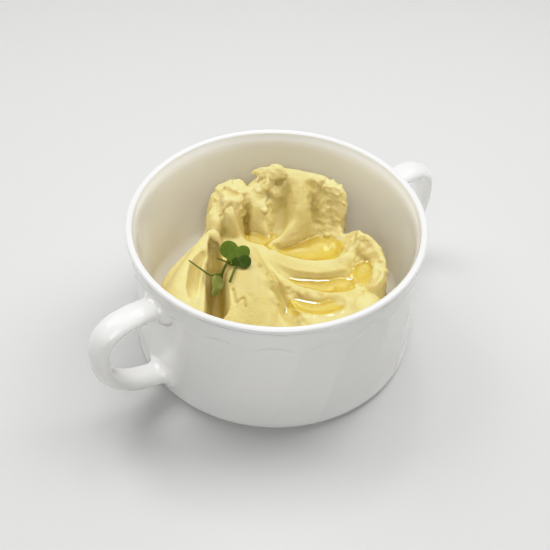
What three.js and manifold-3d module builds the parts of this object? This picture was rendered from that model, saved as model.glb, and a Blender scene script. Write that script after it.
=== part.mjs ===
// A two-handled white porcelain soup cup holding a side of mashed potato. The mash is a spooned heap
// with a tall torn crest at the back, spoon hollows that fan out from a hub, pools of oil in the
// hollows and three small salad sprouts lying on top. Millimetres, +Z up, origin on the table under
// the middle of the cup, handles along X.
import * as THREE from 'three';
import { mergeVertices } from 'three/addons/utils/BufferGeometryUtils.js';
import Module from 'manifold-3d';

const wasm = await Module();
wasm.setup();

// Driving dimensions of the cup.
const cup = {
  rimRadius: 52.5,
  rimHeight: 53.3,
  mouthRadius: 50.0,
  wallRadius: 51.0,
  innerRadius: 48.2,
  baseRadius: 51.5,
  footRadius: 47.6,
  footWidth: 3.8,
  footDepth: 1.5,
  footSlope: 1.0,
  floorHeight: 5.0,
  innerCorner: 8.0,
  outerCorner: 3.4,
  cornerAngles: [-90, -67, -45, -22, 0],
  innerFlare: [[48.6, 6.0], [49.4, 2.4]],
  lipAngles: [180, 125, 90, 55, 0, -50],
  wallHeights: [49.4, 44.6, 43.2, 42.0, 40.6, 22, 6],
  edgeAngles: [0, -35, -65],
};
const flute = {
  count: 18,
  depth: 0.4,
  top: 41.0,
  arch: 2.6,
  slantPerMm: 0.307,
  phase: 0.5,
  fade: 1.2,
  runIn: 5,
};
const handle = {
  rootRadius: 49.7,
  rootDepth: 1.3,
  middleHeight: 24.3,
  halfHeight: 16.5,
  reach: 24.3,
  squareness: 2.55,
  lift: 0.27,
  thickness: 5.9,
  width: 9.9,
  fillet: 3.2,
  entry: [0, 1.3, 1.7, 2.3, 3.2, 4.5, 8],
  bendAngles: [60, 45, 30, 15],
  step: 0.02,
  sides: 14,
};

// Driving dimensions of the food.
const servingTurn = -40;
const gap = 0.3;
const facet = 1.62;
const sideFacet = 4.2;
const heap = { hubHeight: 34.5, hubRadius: 8, footHeight: 8.5, skirtHeight: 7.5, shoulder: 10, flat: 0.93 };
const oil = { depth: 8, sides: 24 };
const leaf = { thickness: 0.5, directions: 22, innerRing: 0.55, curl: 0.7, wave: 0.25, melt: 0.25 };
const stem = { sides: 6, steps: 7 };

const degrees = Math.PI / 180;
const colours = {
  porcelain: 0xefeee9,
  mash: 0xe6d38a,
  oil: 0xd8b83e,
  leafLight: 0x586a1e,
  leafDark: 0x3f530e,
  leafPale: 0x7a7f3c,
};

// ---------------------------------------------------------------- shells of stacked rings
// A Shell is built from rings of points, each stitched to the one before, and closed by a centre
// point at both ends. Going from the first centre to the last, the material lies on the right.
class Shell {
  constructor() {
    this.points = [];
    this.faces = [];
    this.last = null;
  }

  add(points) {
    const first = this.points.length;
    this.points.push(...points);
    return points.map((point, k) => first + k);
  }

  // Zips two rings together, also when one has more points than the other.
  stitch(a, b) {
    let i = 0;
    let j = 0;
    while (i < a.length || j < b.length) {
      const alongA = j >= b.length || (i < a.length && (i + 1) / a.length <= (j + 1) / b.length);
      if (alongA) {
        this.faces.push([a[i], b[j % b.length], a[(i + 1) % a.length]]);
        i += 1;
      } else {
        this.faces.push([a[i % a.length], b[j], b[(j + 1) % b.length]]);
        j += 1;
      }
    }
  }

  open(centre) {
    this.start = this.add([centre])[0];
  }

  ring(points) {
    const ring = this.add(points);
    if (this.last) {
      this.stitch(this.last, ring);
    } else {
      ring.forEach((point, k) => this.faces.push([this.start, point, ring[(k + 1) % ring.length]]));
    }
    this.last = ring;
  }

  close(centre) {
    const end = this.add([centre])[0];
    this.last.forEach((point, k) => this.faces.push([point, end, this.last[(k + 1) % this.last.length]]));
  }

  geometry() {
    const geometry = new THREE.BufferGeometry();
    geometry.setAttribute('position', new THREE.Float32BufferAttribute(this.points.flat(), 3));
    geometry.setIndex(this.faces.flat());
    return outward(geometry);
  }
}

// Turns all the faces round when the enclosed volume comes out negative.
function outward(geometry) {
  const p = geometry.attributes.position;
  const index = geometry.index;
  const corner = (k) => new THREE.Vector3().fromBufferAttribute(p, index.getX(k));
  let volume = 0;
  for (let k = 0; k < index.count; k += 3) {
    volume += corner(k).dot(corner(k + 1).cross(corner(k + 2)));
  }
  if (volume < 0) {
    for (let k = 0; k < index.count; k += 3) {
      const first = index.getX(k);
      index.setX(k, index.getX(k + 1));
      index.setX(k + 1, first);
    }
  }
  return geometry;
}

// ---------------------------------------------------------------- joining solids
function toSolid(geometry) {
  const bare = new THREE.BufferGeometry();
  bare.setAttribute('position', geometry.attributes.position.clone());
  if (geometry.index) {
    bare.setIndex(geometry.index.clone());
  }
  const merged = mergeVertices(bare, 1e-4);
  const mesh = new wasm.Mesh({
    numProp: 3,
    vertProperties: Float32Array.from(merged.attributes.position.array),
    triVerts: Uint32Array.from(merged.index.array),
  });
  return new wasm.Manifold(mesh);
}

function fromSolid(solid) {
  const mesh = solid.getMesh();
  const geometry = new THREE.BufferGeometry();
  geometry.setAttribute('position', new THREE.Float32BufferAttribute(mesh.vertProperties, 3));
  geometry.setIndex(Array.from(mesh.triVerts));
  return geometry;
}

function join(geometries) {
  const solids = geometries.map(toSolid);
  return fromSolid(solids.reduce((whole, solid) => whole.add(solid)));
}

function part(name, geometry, colour, roughness) {
  const material = new THREE.MeshStandardMaterial({ color: colour, roughness, metalness: 0 });
  const mesh = new THREE.Mesh(geometry, material);
  mesh.name = name;
  return mesh;
}

// ---------------------------------------------------------------- the cup
const smooth = (t) => {
  const u = Math.min(Math.max(t, 0), 1);
  return u * u * (3 - 2 * u);
};

const wallRadiusAt = (z) => cup.baseRadius + (cup.wallRadius - cup.baseRadius) * (z / cup.rimHeight);

// Bearing of one of the ridges between flutes, which slant as they go down.
const fluteStart = (z) => (flute.phase - flute.slantPerMm * Math.max(flute.top - z, 0)) * degrees;

// Depth of the shallow flutes at one place on the outer wall.
function fluteDepth(bearing, z) {
  const across = ((bearing - fluteStart(z)) * flute.count) / (2 * Math.PI);
  const f = across - Math.floor(across);
  const hollow = 1 - (2 * f - 1) ** 2;
  const arch = flute.top + flute.arch * hollow;
  return flute.depth * hollow * smooth((arch - z) / flute.fade) * smooth((z - cup.outerCorner) / flute.runIn);
}

// Radius of the inside of the cup at a height, with its rounded bottom corner.
function innerRadiusAt(z) {
  const centre = cup.floorHeight + cup.innerCorner;
  const drop = Math.min(Math.max(centre - z, 0), cup.innerCorner);
  return cup.innerRadius - cup.innerCorner + Math.sqrt(cup.innerCorner ** 2 - drop ** 2);
}

function circle(count, radius, z, turn = 0) {
  return Array.from({ length: count }, (unused, k) => {
    const bearing = turn + (2 * Math.PI * k) / count;
    const r = typeof radius === 'function' ? radius(bearing) : radius;
    return [r * Math.cos(bearing), r * Math.sin(bearing), z];
  });
}

function cupBody() {
  const shell = new Shell();
  const coarse = 3 * flute.count;
  const fine = 6 * flute.count;
  const cornerX = cup.innerRadius - cup.innerCorner;
  const cornerZ = cup.floorHeight + cup.innerCorner;
  shell.open([0, 0, cup.floorHeight]);
  // inside: floor, rounded corner, wall
  for (const angle of cup.cornerAngles) {
    const r = cornerX + cup.innerCorner * Math.cos(angle * degrees);
    shell.ring(circle(coarse, r, cornerZ + cup.innerCorner * Math.sin(angle * degrees)));
  }
  for (const [radius, belowRim] of cup.innerFlare) {
    shell.ring(circle(coarse, radius, cup.rimHeight - belowRim));
  }
  // rolled lip, a rounded bead that stands out from the wall
  const beadRadius = (cup.rimRadius - cup.mouthRadius) / 2;
  for (const angle of cup.lipAngles) {
    const r = cup.mouthRadius + beadRadius * (1 + Math.cos(angle * degrees));
    shell.ring(circle(fine, r, cup.rimHeight - beadRadius * (1 - Math.sin(angle * degrees))));
  }
  // outer wall, with the flutes pressed into it; each ring is turned to follow the slant
  for (const z of cup.wallHeights) {
    shell.ring(circle(fine, (bearing) => wallRadiusAt(z) - fluteDepth(bearing, z), z, fluteStart(z)));
  }
  // rounded bottom edge, foot ring and the recess inside it
  for (const angle of cup.edgeAngles) {
    const r = cup.baseRadius - cup.outerCorner * (1 - Math.cos(angle * degrees));
    shell.ring(circle(fine, r, cup.outerCorner * (1 + Math.sin(angle * degrees)), fluteStart(0)));
  }
  shell.ring(circle(coarse, cup.footRadius, 0));
  shell.ring(circle(coarse, cup.footRadius - cup.footWidth, 0));
  shell.ring(circle(coarse, cup.footRadius - cup.footWidth - cup.footSlope, cup.footDepth));
  shell.close([0, 0, cup.footDepth]);
  return shell.geometry();
}

// A strap handle: an ellipse swept round a squarish loop that leans up and out. Near the wall its
// section swells by the fillet, so that it runs into the wall tangentially.
function handleLoop(side) {
  const power = 2 / handle.squareness;
  const middle = (angle) => {
    const out = handle.reach * Math.abs(Math.cos(angle)) ** power;
    const up = Math.sign(angle) * Math.abs(Math.sin(angle)) ** power;
    const z = handle.middleHeight + handle.halfHeight * up + handle.lift * out;
    return new THREE.Vector3(side * (handle.rootRadius + out), 0, z);
  };
  const entry = handle.entry.map((out) => Math.acos((out / handle.reach) ** (1 / power)));
  const bend = handle.bendAngles.map((angle) => angle * degrees);
  const upper = [...entry, ...bend];
  const angles = [...upper, 0, ...upper.toReversed().map((angle) => -angle)];
  const across = new THREE.Vector3(0, 1, 0);
  const shell = new Shell();
  shell.open(middle(angles[0]).toArray());
  for (const angle of angles) {
    const centre = middle(angle);
    const along = middle(Math.max(angle - handle.step, -Math.PI / 2))
      .sub(middle(Math.min(angle + handle.step, Math.PI / 2)))
      .normalize();
    const normal = new THREE.Vector3().crossVectors(across, along);
    shell.ring(Array.from({ length: handle.sides }, (unused, k) => {
      const turn = (2 * Math.PI * k) / handle.sides;
      const reach = new THREE.Vector3()
        .addScaledVector(normal, (handle.thickness / 2) * Math.cos(turn))
        .addScaledVector(across, (handle.width / 2) * Math.sin(turn));
      const point = centre.clone().add(reach);
      const clear = Math.hypot(point.x, point.y) - wallRadiusAt(point.z);
      const near = Math.min(Math.max(handle.fillet - clear, 0), handle.fillet);
      const swell = handle.fillet - Math.sqrt(handle.fillet ** 2 - near ** 2);
      point.addScaledVector(reach.normalize(), swell);
      // the root stops inside the thickness of the wall
      const radius = Math.hypot(point.x, point.y);
      const fit = Math.max(wallRadiusAt(point.z) - handle.rootDepth, radius) / radius;
      return [point.x * fit, point.y * fit, point.z];
    }));
  }
  shell.close(middle(angles.at(-1)).toArray());
  return shell.geometry();
}

// ---------------------------------------------------------------- the heap of mash
// Outline of the heap: bearing in degrees, radius, height of its edge.
const outline = [
  [-19, 41.5, 31], [-5, 40.5, 33], [3, 41.3, 36], [15, 39.6, 38], [28, 34.8, 38.5], [38, 31.5, 37.5],
  [46, 37.5, 43], [53, 42, 46.5], [66, 40.5, 48.5], [80, 38.5, 50], [92, 37.5, 51], [98, 37.5, 49.5],
  [105, 37.5, 46], [113, 38.2, 46.5], [122, 40.2, 45], [131, 39.8, 42], [142, 33.2, 36], [154, 31.8, 34],
  [168, 34.6, 32], [182, 39.2, 31], [196, 43.5, 30], [215, 46, 30], [240, 46.8, 28], [262, 46.8, 27],
  [282, 46.8, 28], [300, 46.8, 31.5], [325, 45, 32],
];

// What the spoon did, in order. A lump is a rounded block, a roll a ridge and a scoop a trough, both
// along a path of x, y, height; a cut is a narrow crack of a given depth along a path of x, y.
// "half" is the half width where the form has dropped (or risen) by the fall height: for lumps in x
// and y, for paths at the start and at the end. "blend" softens the edge where it meets the rest.
const fall = { lump: 4, path: 3 };
const samplesPerSpan = 8;
const strokes = [
  { form: 'lump', at: [-16.2, 22.5, 45.4], half: [5.4, 11.0], turn: 4, power: 3.0, blend: 0.9 },
  { form: 'lump', at: [-22.6, 19.0, 41.6], half: [3.6, 9.0], turn: 4, power: 2.8, blend: 0.8 },
  { form: 'lump', at: [-1.2, 31.0, 47.8], half: [5.6, 6.0], turn: 0, power: 1.8, blend: 1.0 },
  { form: 'lump', at: [20.5, 26.0, 47.6], half: [6.4, 8.0], turn: -8, power: 2.4, blend: 1.2 },
  { form: 'lump', at: [21.0, 20.0, 42.0], half: [6.0, 7.5], turn: -8, power: 2.2, blend: 1.2 },
  { form: 'lump', at: [24.5, 9.0, 38.6], half: [6.0, 5.5], turn: -25, power: 2.0, blend: 0.8 },
  { form: 'lump', at: [31.5, 5.0, 39.8], half: [6.0, 5.5], turn: -30, power: 2.0, blend: 0.8 },
  { form: 'lump', at: [37.0, -3.5, 38.8], half: [4.4, 8.5], turn: -8, power: 2.2, blend: 0.8 },
  { form: 'lump', at: [34.5, -22.0, 35.5], half: [9.0, 8.5], turn: 0, power: 1.6, blend: 1.5 },
  { form: 'scoop', half: [10.0, 11.0], power: 4.0, blend: 1.5,
    path: [[4, 3, 33.6], [14, -4, 33.2], [24, -8, 33.4]] },
  { form: 'roll', half: [2.8, 7.5], power: 2.4, blend: 1.0,
    path: [[-23.2, 8.6, 38.8], [-25.2, 4.0, 38.7], [-27.8, -3.5, 37.0], [-31, -13, 34.8],
      [-32.5, -21.5, 33.3]] },
  { form: 'scoop', half: [4.6, 4.2], power: 6.0, blend: 0.7,
    path: [[-7.8, 14.5, 32.6], [-8, 17.5, 35.6], [-8.2, 21.5, 40.6], [-8, 26.5, 45.2]] },
  { form: 'scoop', half: [4.2, 3.8], power: 3.0, blend: 0.5,
    path: [[0.2, 14, 31.0], [0.6, 19, 32.8], [0.6, 24.5, 37.0], [0, 29, 44.0]] },
  { form: 'scoop', half: [4.2, 3.6], power: 2.6, blend: 0.5,
    path: [[-8.4, 12.6, 31.0], [-3, 11.0, 30.6], [1.8, 13.2, 30.8]] },
  { form: 'scoop', half: [2.6, 2.2], power: 2.6, blend: 0.7,
    path: [[16.8, 15, 30.2], [15.0, 20, 33], [13.8, 24.5, 37], [12.8, 28.5, 42.5]] },
  { form: 'scoop', half: [3.6, 8.2], power: 2.8, blend: 0.8,
    path: [[-1.0, 8.2, 31.4], [5, 8.4, 29], [12, 8.8, 28], [18, 10.6, 28.6]] },
  { form: 'roll', half: [4.0, 1.8], power: 2.2, blend: 0.7,
    path: [[8, 33, 49], [8.1, 27, 46], [7.8, 21, 42.0], [6.2, 16.4, 38.0], [2.8, 12.9, 35.0],
      [-0.4, 10.9, 33.2], [-2.6, 9.6, 32.2]] },
  { form: 'scoop', half: [2.0, 5.0], power: 2.6, blend: 0.7,
    path: [[-1.5, -0.4, 34.0], [3, -5.2, 31.6], [9, -8.6, 29.2], [17, -10.0, 28.5], [25.5, -8.4, 29.6]] },
  { form: 'scoop', half: [5.0, 5.6], power: 2.4, blend: 0.9,
    path: [[30.5, -8.5, 31.4], [31, -3.5, 30.4], [31.5, 0, 30.6]] },
  { form: 'scoop', half: [3.6, 4.4], power: 2.6, blend: 0.9,
    path: [[5, -17, 32.4], [9.5, -20.4, 31.0], [15.5, -21.8, 30.8], [22, -19.6, 31.4]] },
  { form: 'scoop', half: [1.6, 4.2], power: 2.6, blend: 0.5,
    path: [[-6.5, 1, 34.4], [-3.2, -7.5, 31.8], [1.4, -16.5, 29.8], [6, -26, 29.4], [11, -35, 29.8]] },
  { form: 'roll', half: [5.4, 9.5], power: 2.6, blend: 0.4,
    path: [[-11, 1.5, 36.8], [-10.0, -7, 39.2], [-9.0, -14, 39.0], [-8.0, -24, 36.2], [-6.5, -36, 30.5]] },
  { form: 'scoop', half: [1.3, 2.9], power: 3.4, blend: 0.6,
    path: [[-22.4, 8.5, 34], [-22.2, 3, 29.5], [-21.2, -4.5, 25], [-20.6, -12.5, 22], [-19.8, -24, 20]] },
  { form: 'scoop', half: [1.6, 2.6], power: 2.2, blend: 1.0,
    path: [[-25.8, -2, 34.6], [-28.0, -6, 32.4], [-28.6, -13, 31.2], [-28.0, -18.5, 31.8]] },
  { form: 'cut', depth: 4.5, half: [1.0, 1.0], power: 2.0, path: [[-11.2, 15.5, 0], [-11.4, 22, 0]] },
  { form: 'cut', depth: 4.0, half: [1.5, 1.5], power: 2.0, path: [[-11.5, 30, 0], [-11.5, 39.5, 0]] },
];

// Torn, crumbly places: x, y, radius, strength.
const tears = [
  [-19, 23, 10, 1.0], [-4.5, 31, 9, 0.8], [19.5, 26, 9, 1.0], [30.5, 7.5, 8, 0.9], [38.0, -2, 7, 0.9],
  [-23, 7, 3.5, 0.4], [-1.5, -15.5, 4, 0.5], [9, -28.5, 4, 0.5], [-13.0, -22.0, 5, 0.3],
  [30, -17, 6, 0.5], [-3.6, 21, 3, 0.8],
];
const crumb = { calm: 0.12, coarse: 1.8, fine: 0.9, coarseSize: [3.1, 2.7], fineSize: [1.5, 1.6] };

// Smooth periodic curve through the outline's values, without overshoot between them.
function aroundOutline(column) {
  const count = outline.length;
  const bearing = (k) => outline[((k % count) + count) % count][0] + 360 * Math.floor(k / count);
  const value = (k) => outline[((k % count) + count) % count][column];
  const rise = (k) => (value(k + 1) - value(k)) / (bearing(k + 1) - bearing(k));
  const slope = (k) => {
    const before = rise(k - 1);
    const after = rise(k);
    return before * after <= 0 ? 0 : (2 * before * after) / (before + after);
  };
  return (angle) => {
    const first = outline[0][0];
    const turned = first + ((((angle / degrees - first) % 360) + 360) % 360);
    let k = 0;
    while (bearing(k + 1) <= turned) {
      k += 1;
    }
    const span = bearing(k + 1) - bearing(k);
    const t = (turned - bearing(k)) / span;
    const u = 1 - t;
    return value(k) * u * u * (1 + 2 * t) + value(k + 1) * t * t * (3 - 2 * t)
      + span * t * u * (slope(k) * u - slope(k + 1) * t);
  };
}
const edgeRadius = aroundOutline(1);
const edgeHeight = aroundOutline(2);

// Distance from a place to a stroke's path, with the height and the share of the path there.
function nearest(stroke, x, y) {
  const curve = stroke.samples;
  let best = { distance: Infinity, height: 0, share: 0 };
  for (let k = 1; k < curve.length; k += 1) {
    const [ax, ay, az] = curve[k - 1];
    const [bx, by, bz] = curve[k];
    const length2 = (bx - ax) ** 2 + (by - ay) ** 2;
    const t = Math.min(Math.max(((x - ax) * (bx - ax) + (y - ay) * (by - ay)) / length2, 0), 1);
    const distance = Math.hypot(x - ax - t * (bx - ax), y - ay - t * (by - ay));
    if (distance < best.distance) {
      best = { distance, height: az + t * (bz - az), share: (k - 1 + t) / (curve.length - 1) };
    }
  }
  return best;
}

for (const stroke of strokes) {
  if (stroke.path) {
    const curve = new THREE.CatmullRomCurve3(stroke.path.map((p) => new THREE.Vector3(...p)));
    curve.curveType = 'catmullrom';
    stroke.samples = curve.getPoints(samplesPerSpan * (stroke.path.length - 1)).map((p) => p.toArray());
  }
}

function softMin(a, b, k) {
  const h = Math.min(Math.max(0.5 + (0.5 * (b - a)) / k, 0), 1);
  return b * (1 - h) + a * h - k * h * (1 - h);
}
const softMax = (a, b, k) => -softMin(-a, -b, k);

const shape = {
  lump(height, stroke, x, y) {
    const c = Math.cos(stroke.turn * degrees);
    const s = Math.sin(stroke.turn * degrees);
    const dx = x - stroke.at[0];
    const dy = y - stroke.at[1];
    const u = (dx * c + dy * s) / stroke.half[0];
    const v = (dy * c - dx * s) / stroke.half[1];
    return softMax(height, stroke.at[2] - fall.lump * (u * u + v * v) ** stroke.power, stroke.blend);
  },
  roll(height, stroke, x, y) {
    const near = nearest(stroke, x, y);
    const half = stroke.half[0] + (stroke.half[1] - stroke.half[0]) * near.share;
    return softMax(height, near.height - fall.path * (near.distance / half) ** stroke.power, stroke.blend);
  },
  scoop(height, stroke, x, y) {
    const near = nearest(stroke, x, y);
    const half = stroke.half[0] + (stroke.half[1] - stroke.half[0]) * near.share;
    return softMin(height, near.height + fall.path * (near.distance / half) ** stroke.power, stroke.blend);
  },
  cut(height, stroke, x, y) {
    const near = nearest(stroke, x, y);
    return height - stroke.depth * Math.exp(-((near.distance / stroke.half[0]) ** stroke.power));
  },
};

// Repeatable value noise from -0.5 to 0.5.
function noise(x, y, seed) {
  const cell = (i, j) => {
    const v = Math.sin(i * 127.1 + j * 311.7 + seed * 74.7) * 43758.5453;
    return v - Math.floor(v);
  };
  const i = Math.floor(x);
  const j = Math.floor(y);
  const u = smooth(x - i);
  const v = smooth(y - j);
  const near = cell(i, j) * (1 - u) + cell(i + 1, j) * u;
  const far = cell(i, j + 1) * (1 - u) + cell(i + 1, j + 1) * u;
  return near * (1 - v) + far * v - 0.5;
}

function crumble(x, y) {
  let strength = crumb.calm;
  for (const [cx, cy, radius, amount] of tears) {
    const q = ((x - cx) ** 2 + (y - cy) ** 2) / radius ** 2;
    strength = Math.max(strength, amount * Math.exp(-(q * q)));
  }
  const coarse = noise((x + 0.3 * y) / crumb.coarseSize[0], y / crumb.coarseSize[1], 1);
  const fine = noise(x / crumb.fineSize[0], y / crumb.fineSize[1], 2);
  return strength * (crumb.coarse * coarse + crumb.fine * fine);
}

// Height of the worked top before the edge of the heap rounds off.
function topHeight(x, y) {
  const bearing = Math.atan2(y, x);
  const share = (Math.hypot(x, y) - heap.hubRadius) / (edgeRadius(bearing) - heap.hubRadius);
  let height = heap.hubHeight + (edgeHeight(bearing) - heap.hubHeight) * smooth(share);
  for (const stroke of strokes) {
    height = shape[stroke.form](height, stroke, x, y);
  }
  return height + crumble(x, y);
}

const shoulderDrop = (share) => (1 - Math.min(share, 1) ** heap.shoulder) ** (1 / heap.shoulder);

// Height of the heap's surface at a place inside its outline.
function heapHeight(x, y) {
  const share = Math.hypot(x, y) / edgeRadius(Math.atan2(y, x));
  return heap.footHeight + (topHeight(x, y) - heap.footHeight) * shoulderDrop(share);
}

function heapRing(count, share, drop) {
  return Array.from({ length: count }, (unused, k) => {
    const bearing = (2 * Math.PI * k) / count;
    const r = edgeRadius(bearing) * share;
    const x = r * Math.cos(bearing);
    const y = r * Math.sin(bearing);
    const z = heap.footHeight + (topHeight(x, y) - heap.footHeight) * drop;
    const fit = Math.min(r, innerRadiusAt(z) - gap) / r;
    return [x * fit, y * fit, z];
  });
}

function mashHeap() {
  const shell = new Shell();
  const typicalRadius = 41;
  const typicalHeight = 25;
  const rings = Math.round((heap.flat * typicalRadius) / facet);
  const most = 6 * rings;
  shell.open([0, 0, topHeight(0, 0)]);
  for (let k = 1; k <= rings; k += 1) {
    const share = (heap.flat * k) / rings;
    shell.ring(heapRing(6 * k, share, shoulderDrop(share)));
  }
  const levels = Math.round((shoulderDrop(heap.flat) * typicalHeight) / sideFacet);
  for (let k = 1; k <= levels; k += 1) {
    const drop = shoulderDrop(heap.flat) * (1 - k / levels);
    shell.ring(heapRing(most, (1 - drop ** heap.shoulder) ** (1 / heap.shoulder), drop));
  }
  // the thin skirt that fills the cup's bottom corner, and the flat underside
  shell.ring(circle(most / 2, innerRadiusAt(heap.skirtHeight) - 2 * gap, heap.skirtHeight));
  shell.ring(circle(most / 2, cup.innerRadius - cup.innerCorner, cup.floorHeight + gap));
  shell.close([0, 0, cup.floorHeight + gap]);
  return shell.geometry();
}

// ---------------------------------------------------------------- oil in the hollows
// A pool fills its hollow up to a level: a flat oval disc, less the mash raised by the gap. Of what
// is left, the largest piece is the pool.
function pool(mash, { middle, level, reach, turn }) {
  const disc = new THREE.CylinderGeometry(1, 1, oil.depth, oil.sides);
  disc.rotateX(90 * degrees);
  disc.scale(reach[0], reach[1], 1);
  disc.rotateZ(turn * degrees);
  disc.translate(middle[0], middle[1], level - oil.depth / 2);
  disc.deleteAttribute('normal');
  disc.deleteAttribute('uv');
  const left = toSolid(disc).subtract(toSolid(mash).translate([0, 0, gap]));
  const pieces = left.decompose().sort((a, b) => b.volume() - a.volume());
  return fromSolid(pieces[0]);
}

// ---------------------------------------------------------------- sprouts
// A heart-shaped seed leaf: two round lobes that melt together and a taper to the stalk, as a thin
// cupped sheet whose two faces are split alike.
function seedLeaf({ base, left, right, radii, taper, curl = leaf.curl, melt = leaf.melt }) {
  const stalk = new THREE.Vector3(...base);
  const lobes = [new THREE.Vector3(...left), new THREE.Vector3(...right)];
  const middle = lobes[0].clone().add(lobes[1]).multiplyScalar(0.5);
  const back = stalk.clone().sub(middle);
  const across = lobes[1].clone().sub(lobes[0]).normalize();
  const normal = new THREE.Vector3().crossVectors(back, across).normalize();
  if (normal.z < 0) {
    normal.negate();
  }
  const along = new THREE.Vector3().crossVectors(normal, across);
  const flatten = (v) => new THREE.Vector2(v.dot(across), v.dot(along));
  const stalkAngle = Math.atan2(back.dot(along), back.dot(across));
  const offsets = lobes.map((lobe) => flatten(lobe.clone().sub(middle)));
  const edge = (angle) => {
    const direction = new THREE.Vector2(Math.cos(angle), Math.sin(angle));
    const reach = offsets.map((offset, k) => {
      const d = offset.dot(direction);
      return d + Math.sqrt(Math.max(radii[k] ** 2 - offset.lengthSq() + d * d, 0));
    });
    const off = Math.atan2(Math.sin(angle - stalkAngle), Math.cos(angle - stalkAngle));
    return Math.max(softMax(...reach, melt), back.length() * Math.exp(-((off / taper) ** 2)));
  };
  const point = (angle, share, lift) => {
    const r = edge(angle) * share;
    const cupping = curl * share * share * Math.cos(2 * (angle - stalkAngle)) * -0.5;
    const ripple = leaf.wave * share * Math.sin(3 * angle);
    return middle.clone()
      .addScaledVector(across, r * Math.cos(angle))
      .addScaledVector(along, r * Math.sin(angle))
      .addScaledVector(normal, cupping + ripple + lift)
      .toArray();
  };
  const half = leaf.thickness / 2;
  const ring = (share, lift) => Array.from({ length: leaf.directions }, (unused, k) => {
    return point((2 * Math.PI * k) / leaf.directions, share, lift);
  });
  const shell = new Shell();
  shell.open(point(0, 0, half));
  shell.ring(ring(leaf.innerRing, half));
  shell.ring(ring(1, half));
  shell.ring(ring(1, -half));
  shell.ring(ring(leaf.innerRing, -half));
  shell.close(point(0, 0, -half));
  return shell.geometry();
}

function stalk(points, radius) {
  const curve = new THREE.CatmullRomCurve3(points.map((p) => new THREE.Vector3(...p)));
  const section = new THREE.Shape();
  for (let k = 0; k < stem.sides; k += 1) {
    const angle = (2 * Math.PI * k) / stem.sides;
    const place = k === 0 ? 'moveTo' : 'lineTo';
    section[place](radius * Math.cos(angle), radius * Math.sin(angle));
  }
  section.closePath();
  return new THREE.ExtrudeGeometry(section, { steps: stem.steps, bevelEnabled: false, extrudePath: curve });
}

// The upright sprout: a bright leaf facing up on a stalk that runs down into the valley.
function brightSprout() {
  const base = [-16.6, -7.8, 39.0];
  return join([
    seedLeaf({ base, left: [-16.5, -3.2, 40.9], right: [-11.8, -4.3, 40.8], radii: [3.3, 2.8], taper: 0.7 }),
    stalk([[-16.6, -7.2, 39.4], [-17.4, -8.2, 38.0], [-18.4, -8.9, 35.6], [-19.0, -8.8, 32.5],
      [-19.4, -8.6, 29.0]], 0.48),
  ]);
}

// The sprout beneath it: a dark leaf, a thin stalk over the valley and one that lies on the mash.
function darkSprout() {
  const base = [-14.1, -10.7, 39.7];
  return join([
    seedLeaf({
      base, left: [-13.7, -9.2, 40.6], right: [-10.9, -9.2, 41.0], radii: [1.6, 2.5], taper: 0.42, curl: 0.3,
    }),
    stalk([[-20.9, -1.5, 34.8], [-17.8, -5.3, 37.0], [-15.9, -7.8, 38.1], [-13.9, -9.8, 39.7]], 0.34),
    stalk([[-13.9, -9.9, 39.5], [-14.8, -13.9, 38.9], [-15.6, -16.2, 37.7]], 0.4),
  ]);
}

// The sprout in the valley: a pale leaf seen from below, on a long stalk that rests on the left lump.
function paleSprout() {
  const base = [-20.3, -10.1, 35.2];
  return join([
    seedLeaf({
      base, left: [-20.8, -13.3, 29.6], right: [-20.1, -11.4, 32.2], radii: [1.9, 2.4],
      taper: 1.2, curl: 0.9, melt: 1.2,
    }),
    stalk([[-19.3, -9.8, 35.1], [-20.5, -9.9, 35.1], [-22.8, -10.5, 35.1], [-26.0, -9.1, 36.4],
      [-30.7, -5.2, 36.8]], 0.34),
  ]);
}

// ---------------------------------------------------------------- the whole serving
const serving = new THREE.Group();
const bowl = join([cupBody(), handleLoop(1), handleLoop(-1)]);
serving.add(part('bowl', bowl, colours.porcelain, 0.12));

const food = new THREE.Group();
food.rotation.z = servingTurn * degrees;
const mash = mashHeap();
food.add(part('mash', mash, colours.mash, 0.5));

const pools = {
  oil_back: { middle: [-5.2, 12.0], level: 32.0, reach: [7.2, 6.0], turn: 0 },
  oil_centre: { middle: [12.5, 9.0], level: 30.2, reach: [14.5, 9.0], turn: 12 },
  oil_middle: { middle: [16.0, -9.0], level: 30.5, reach: [14.0, 6.5], turn: 5 },
  oil_right: { middle: [31.5, -2.5], level: 31.1, reach: [5.6, 7.0], turn: 0 },
  oil_front: { middle: [14.5, -21.2], level: 32.0, reach: [10.5, 5.0], turn: -5 },
};
for (const [name, shapeOfPool] of Object.entries(pools)) {
  food.add(part(name, pool(mash, shapeOfPool), colours.oil, 0.05));
}

food.add(part('sprout_bright', brightSprout(), colours.leafLight, 0.5));
food.add(part('sprout_dark', darkSprout(), colours.leafDark, 0.5));
food.add(part('sprout_pale', paleSprout(), colours.leafPale, 0.55));
serving.add(food);

export default serving;
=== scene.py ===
"""Mashed potato in a two-handled porcelain soup cup, with oil in its hollows and a sprig of sprouts.

The cup, the heap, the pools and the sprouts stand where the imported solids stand, in metres.
Sizes are named in millimetres. The food has a turned frame of its own: x to the eater's right, y away
from them, z up, with the origin under the middle of the cup.
"""

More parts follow.
